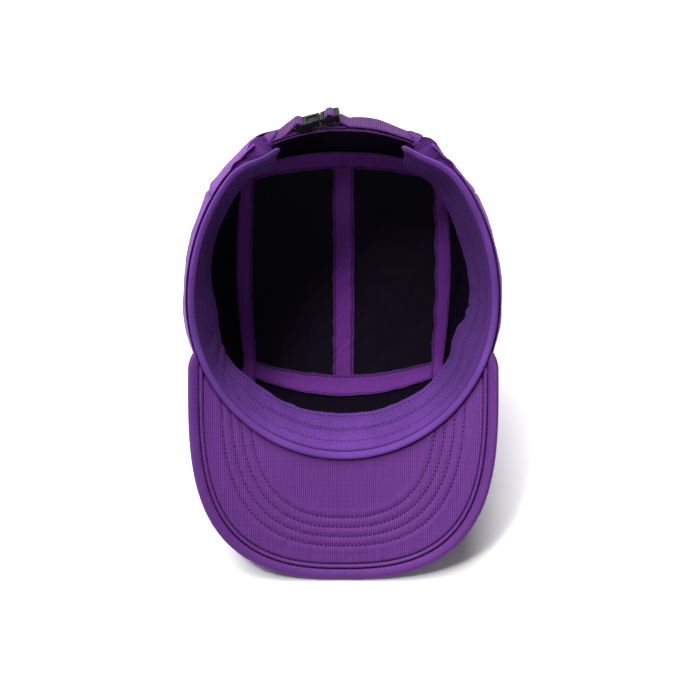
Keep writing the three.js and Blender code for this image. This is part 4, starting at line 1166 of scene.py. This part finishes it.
peakCover, panelReach = makePeakCover()
peakUnder = makePeakUnder(panelReach)
rowLines = [outsideRim(peakCurve(np.linspace(-1, 1, 420), *row), 0.5) for row in peakRows]
sew("peak_under_stitching", dropOnto(peakUnder, rowLines, 1), darkThread, "peak_cloth", peak["underStitch"])
sew("peak_top_stitching", dropOnto(peakCover, rowLines, -1), crownThread, "peak_cloth", peak["topStitch"])
sew("peak_edge_stitching", map(edgeRow, (peak["wrapLine"], 8.5)), darkThread, "peak_cloth", peak["edgeStitch"])
print("cap: peak made")

# Strap: drawn flat as seen from below the rim, x across the cap and y outwards, then stood up and tilted
buckle = {
    "length": 25, "width": 24, "thickness": 4, "centre": -13.5, "tilt": 8, "frameLength": 11, "barWidth": 2.6,
    "barThickness": 2, "corner": 2, "bevel": 0.55, "recess": 0.8, "bodyDepth": 3.0, "openWidth": 2.2,
}


def turned(x, y, angle):
    x, y = np.asarray(x, float), np.asarray(y, float)
    c, s = math.cos(angle), math.sin(angle)
    return np.stack([x * c - y * s, x * s + y * c], -1)


def strapPoint(x, outward):
    turn = np.arcsin(np.asarray(x, float) / strap["radius"])
    radius = strap["radius"] + outward
    return np.stack([np.sin(turn) * radius, np.cos(turn) * radius - strap["radius"]], -1)


def standStrap(flat, z):
    y, z = np.moveaxis(turned(-flat[..., 1], z, math.radians(strap["tilt"])), -1, 0)
    return np.stack([flat[..., 0], y - strap["reach"], z + strap["rise"]], -1)


buckleLift = (strap["thickness"] / 2 + 2 * seamGap + buckle["thickness"] / 2
              + math.sin(math.radians(buckle["tilt"])) * buckle["length"] / 2)
buckleTurn = -math.asin(buckle["centre"] / strap["radius"]) + math.radians(buckle["tilt"])
buckleOrigin = strapPoint(buckle["centre"], buckleLift)
adjusterBar = buckle["length"] / 2 - buckle["frameLength"] / 2
anchorBar = -buckle["length"] / 2 + buckle["barWidth"] / 2
wrapRadius = math.hypot(buckle["barWidth"], buckle["barThickness"]) / 2 + seamGap + strap["thickness"] / 2
layerSpacing = strap["thickness"] + seamGap


def fromBuckle(x, y):
    return turned(x, y, buckleTurn) + buckleOrigin


# Webbing that wraps a bar of the buckle, from one angle to another in half turns
def wrapRound(bar, start, end, number):
    turn = np.linspace(start, end, number) * math.pi
    return fromBuckle(bar + np.cos(turn) * wrapRadius, np.sin(turn) * wrapRadius)


# Webbing along a line of the drawing: ribs run across its width, and its edges are a little thinner
# flare holds where along the run the upper edge leans out most, over what length and how far
def makeWebbing(name, node, parts, seed, flare=(0, 1, 0)):
    line = np.concatenate(parts)
    run = lineRun(line)
    middle, at = refined(line, run, int(run[-1] / strap["ribPitch"] * 5 * detail))
    along = unit(np.gradient(middle, axis=0))
    across = np.stack([-along[:, 1], along[:, 0]], -1)
    z, ribTurn = np.linspace(0, 1, 15), 2 * math.pi * at[:, None] / strap["ribPitch"]
    rib = 0.5 + 0.5 * np.cos(ribTurn)
    edgeThin = 1 - 0.35 * bell(np.minimum(z, 1 - z) / 0.03)
    high = (strap["thickness"] / 2 - 0.05) * edgeThin + strap["ribHeight"] * (rib - 0.5)
    high = high + 0.05 * softNoise(at[:, None] / 5, z[None] * 3, seed)
    leanOut = flare[2] * hump(at, *flare[:2])[:, None] * (z - 0.15)
    lift = z * strap["width"] + 0.12 * np.sin(ribTurn) * (2 * z - 1)
    outer, inner = [
        standStrap(middle[:, None] + (sign * high + leanOut)[..., None] * across[:, None], lift) for sign in (1, -1)]
    clothUv = np.stack(np.meshgrid(at, z * strap["width"], indexing="ij"), -1)
    # Painted shade between the ribs
    crease = (1 - rib) ** 2 * 0.85 + 0 * z
    piece = makeCloth(name, outer, inner, webbingCloth, "webbing", clothUv, crease, bulge=0.4)
    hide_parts(node)


def makeStraps():
    ends, flare = strap["endHalfWidth"], strap["flare"]
    inner = strapPoint(np.linspace(-ends, ends, 21), 0)
    makeWebbing("inner_webbing", "strap_inner_webbing", [inner], 101)
    x = np.linspace(ends, 3, 14)
    run = strapPoint(x, layerSpacing + strap["bow"] * smooth(ends - x, 9, 24))
    below = -(buckle["thickness"] + strap["thickness"]) / 2 - seamGap
    under = fromBuckle(adjusterBar + wrapRadius + strap["width"] * 0.14 * np.array([1, 0.3]), below)
    tail = strapPoint([-9.2, -7.6, -5.0, -2.0, strap["tailReach"]], np.array([2.9, 1.45, 1.45, 1.45, 1.45]))
    parts = [run, under, wrapRound(adjusterBar, -0.04, 1.1, 9), tail]
    makeWebbing("adjuster_webbing", "strap_adjuster_webbing", parts, 103, (30, 13, flare))
    x = np.linspace(-ends, -31, 8)
    run = strapPoint(x, layerSpacing + 1.1 * smooth(ends + x, 8, 12))
    parts = [run, wrapRound(anchorBar, 0.78, -0.5, 12), strapPoint([-27.0, -29.5, -31.6], 1.45)]
    makeWebbing("anchor_webbing", "strap_anchor_webbing", parts, 107, (12, 7, -flare))


# Cloth loop round both webbings at one end: a soft tube that is gathered a little
def makeLoop(side):
    deepRoom, highRoom = strap["thickness"] + layerSpacing + 3 * seamGap, strap["width"] + 2 * seamGap
    turn = np.linspace(0, 2 * math.pi, count(84), endpoint=False)
    length = np.linspace(-loop["length"] / 2, loop["length"] / 2, count(26))[:, None]
    centre = strapPoint(side * loop["halfSpan"], layerSpacing / 2)
    angle = -math.asin(side * loop["halfSpan"] / strap["radius"])
    toEnd = np.clip(1 - (np.abs(length) / (loop["length"] / 2)) ** 6, 0, 1)
    slant = np.clip(-np.sin(turn), 0, 1) * side * loop["slant"] * (1 - length * side / loop["length"] * 2) / 2
    fold = softNoise(length / 1.6 + 0.25 * np.sin(turn), np.cos(turn) * 1.5 + 3, 111 + side)
    squared = lambda value, power: np.sign(value) * np.abs(value) ** (2 / power)

    def layer(wall, power, rounded, wave):
        y = (deepRoom / 2 + wall) * squared(np.cos(turn), power) * wave
        high = (highRoom / 2 + wall) * squared(np.sin(turn), power)
        z = high * np.where(high < 0, rounded, 1.0) + highRoom / 2 - seamGap
        return standStrap(turned(length + slant, y, angle) + centre, z)

    rounded = 0.86 + 0.14 * toEnd
    outer, inner = layer(loop["wall"], 3, rounded, rounded + 0.09 * fold), layer(0.12, 5, 1.0, 1.0)
    index = np.arange(outer[..., 0].size).reshape(outer.shape[:2])
    nextIndex, size = np.roll(index, -1, 1), index.size
    inside, nextInside = index + size, nextIndex + size
    faces = np.concatenate([
        quadStrip(index[:-1], index[1:], nextIndex[1:], nextIndex[:-1]),
        quadStrip(inside[:-1], nextInside[:-1], nextInside[1:], inside[1:]),
        quadStrip(index[0], nextIndex[0], nextInside[0], inside[0]),
        quadStrip(index[-1], inside[-1], nextInside[-1], nextIndex[-1])])
    points = np.concatenate([outer.reshape(-1, 3), inner.reshape(-1, 3)])
    clothUv = np.stack(np.meshgrid(length[:, 0], turn * 7, indexing="ij"), -1).reshape(-1, 2)
    name = "left" if side < 0 else "right"
    piece = makePiece("strap_hem_" + name, points, faces, shadedHemNylon, "crown_cloth", np.concatenate([clothUv] * 2))
    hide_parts("strap_loop_" + name)


# Plastic parts: rounded blocks with their slots cut out, edges broken by a bevel
def plasticBlock(name, size, centre, corner=0.0, bevel=0.0):
    mesh = bpy.data.meshes.new(name)
    shape = bmesh.new()
    bmesh.ops.create_cube(shape, size=1)
    bmesh.ops.scale(shape, vec=Vector(size), verts=shape.verts)
    if corner:
        upright = [e for e in shape.edges if abs((e.verts[0].co - e.verts[1].co).z) > 0.5 * size[2]]
        bmesh.ops.bevel(shape, geom=upright, offset=corner, segments=8, profile=0.5, affect="EDGES")
    if bevel:
        rims = [e for e in shape.edges if e.is_manifold and abs(e.calc_face_angle(0)) > 0.9]
        bmesh.ops.bevel(shape, geom=rims, offset=bevel, segments=3, profile=0.6, affect="EDGES")
    bmesh.ops.translate(shape, vec=Vector(centre), verts=shape.verts)
    shape.to_mesh(mesh)
    shape.free()
    return addObject(name, mesh)


def carve(body, cutters, operation="DIFFERENCE"):
    for cutter in cutters:
        modifier = body.modifiers.new("carve", "BOOLEAN")
        modifier.operation, modifier.solver, modifier.object = operation, "EXACT", cutter
    shaped = bpy.data.meshes.new_from_object(body.evaluated_get(bpy.context.evaluated_depsgraph_get()))
    body.modifiers.clear()
    body.data = shaped
    for cutter in cutters:
        bpy.data.objects.remove(cutter)


def placeBuckle(body, node, name):
    x, y, z = vertexPlaces(body.data).astype(float).T
    worn = standStrap(fromBuckle(x, z), strap["width"] / 2 + y)
    faces = [tuple(reversed(f.vertices)) for f in body.data.polygons]
    bpy.data.objects.remove(body)
    piece = makePiece(name, worn, faces, buckleBlack, "buckle_plastic")
    shape = bmesh.new()
    shape.from_mesh(piece.data)
    bmesh.ops.recalc_face_normals(shape, faces=shape.faces)
    shape.to_mesh(piece.data)
    shape.free()
    piece.data.set_sharp_from_angle(angle=math.radians(38))
    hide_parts(node)


def makeBuckle():
    deep, span, width = buckle["bodyDepth"], strap["width"] + 4 * seamGap, buckle["width"]
    slot, room = buckle["openWidth"], buckle["barWidth"] + buckle["openWidth"]
    lift = (buckle["barThickness"] + deep) / 2
    length = buckle["length"] - buckle["frameLength"] - seamGap
    middle = (length - buckle["length"]) / 2
    block = partial(plasticBlock, "cutter")
    body = lambda long, at: plasticBlock("body", (long, width, deep), (at, 0, 0), buckle["corner"], buckle["bevel"])
    slotAt = lambda at: block((slot, span, 12), (at, 0, 0), 0.8)
    thinned = lambda bar: [block((room, span, deep), (bar, 0, side * lift)) for side in (1, -1)]
    catch = lambda side: block((2.2, 2.4, 9), (middle + 0.3 * length, side * width / 2, 0), 0.8)
    socket = body(length, middle)
    carve(socket, [
        slotAt(anchorBar + room / 2), *thinned(anchorBar),
        block((0.46 * length, 0.52 * width, 2 * buckle["recess"]), (middle + 0.19 * length, 0, deep / 2), 1.0),
        block((0.5, 0.9 * width, 0.7), (middle + 0.47 * length, 0, deep / 2)), catch(1), catch(-1),
    ])
    button = block((0.3 * length, 0.34 * width, 0.7), (middle + 0.19 * length, 0, deep / 2 - 0.75), 0.8, 0.2)
    carve(socket, [button], "UNION")
    placeBuckle(socket, "buckle_socket", "buckle_socket_moulding")
    adjuster = body(buckle["frameLength"], adjusterBar)
    carve(adjuster, [slotAt(adjusterBar - room / 2), slotAt(adjusterBar + room / 2), *thinned(adjusterBar)])
    placeBuckle(adjuster, "buckle_adjuster", "buckle_adjuster_moulding")


makeStraps()
makeLoop(-1)
makeLoop(1)
makeBuckle()
print("cap: strap and buckle made")

# Studio: white floor lit from above, and a narrower lamp from the left that looks into the crown
studio = {
    "floorTone": 0.95, "floorHalf": 6, "surroundings": 0.22,
    "skyPower": 68.0, "skySize": 1.6, "skyPlace": (-0.3, 0.6, 1.6),
    "keyPower": 185.0, "keyRadius": 0.28, "keyCone": 15.0, "keyBlend": 1.0, "keyPlace": (-0.62, -0.37, 1.56),
    "keyAim": (0.0, 0.0, 0.08),
}


def aimLamp(name, light, place, aim):
    lamp = addObject(name, light)
    lamp.location = place
    lamp.rotation_euler = (Vector(aim) - Vector(place)).to_track_quat("-Z", "Y").to_euler()


def makeStudio():
    mesh, half, tone = bpy.data.meshes.new("studio_floor"), studio["floorHalf"], studio["floorTone"]
    mesh.from_pydata([(-half, -half, 0), (half, -half, 0), (half, half, 0), (-half, half, 0)], [], [(0, 1, 2, 3)])
    floor = addObject("studio_floor", mesh)
    startMaterial("white studio floor", (tone, tone, tone), 0.8, {"Specular IOR Level": 0.1})
    floor.data.materials.append(bpy.data.materials["white studio floor"])
    floor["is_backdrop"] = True
    world = bpy.data.worlds.new("studio")
    world.use_nodes = True
    world.node_tree.nodes["Background"].inputs[0].default_value = (1, 1, 1, 1)
    world.node_tree.nodes["Background"].inputs[1].default_value = studio["surroundings"]
    bpy.context.scene.world = world
    sky = bpy.data.lights.new("sky_light", "AREA")
    sky.energy, sky.size = studio["skyPower"], studio["skySize"]
    aimLamp("sky_light", sky, studio["skyPlace"], (0, 0, 0))
    key = bpy.data.lights.new("key_light", "SPOT")
    key.energy, key.shadow_soft_size = studio["keyPower"], studio["keyRadius"]
    key.spot_size, key.spot_blend = math.radians(studio["keyCone"]), studio["keyBlend"]
    aimLamp("key_light", key, studio["keyPlace"], studio["keyAim"])
    bpy.context.scene.view_settings.view_transform = "Standard"


# Camera at the photograph's angle
shot = {"elevation": 47.9, "distance": 1.2, "target": (0.0045, -0.01439, 0.08202), "lens": 109.94}


def makeCamera():
    camera = addObject("camera", bpy.data.cameras.new("camera"))
    camera.data.lens, camera.data.sensor_width = shot["lens"], 36
    camera.data.clip_start, camera.data.clip_end = 0.05, 20
    rise = math.radians(shot["elevation"])
    back = Vector((0, -math.cos(rise), math.sin(rise)))
    camera.location = Vector(shot["target"]) + back * shot["distance"]
    camera.rotation_euler = (math.pi / 2 - rise, 0, 0)
    bpy.context.scene.camera = camera


makeStudio()
makeCamera()
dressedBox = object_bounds()
{"cad": [list(corner) for corner in cadBox], "visual": [list(corner) for corner in dressedBox]}
triangles = sum(sum(len(f.vertices) - 2 for f in o.data.polygons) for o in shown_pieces() if o.type == "MESH")
print("cap: studio and camera set,", triangles, "triangles")
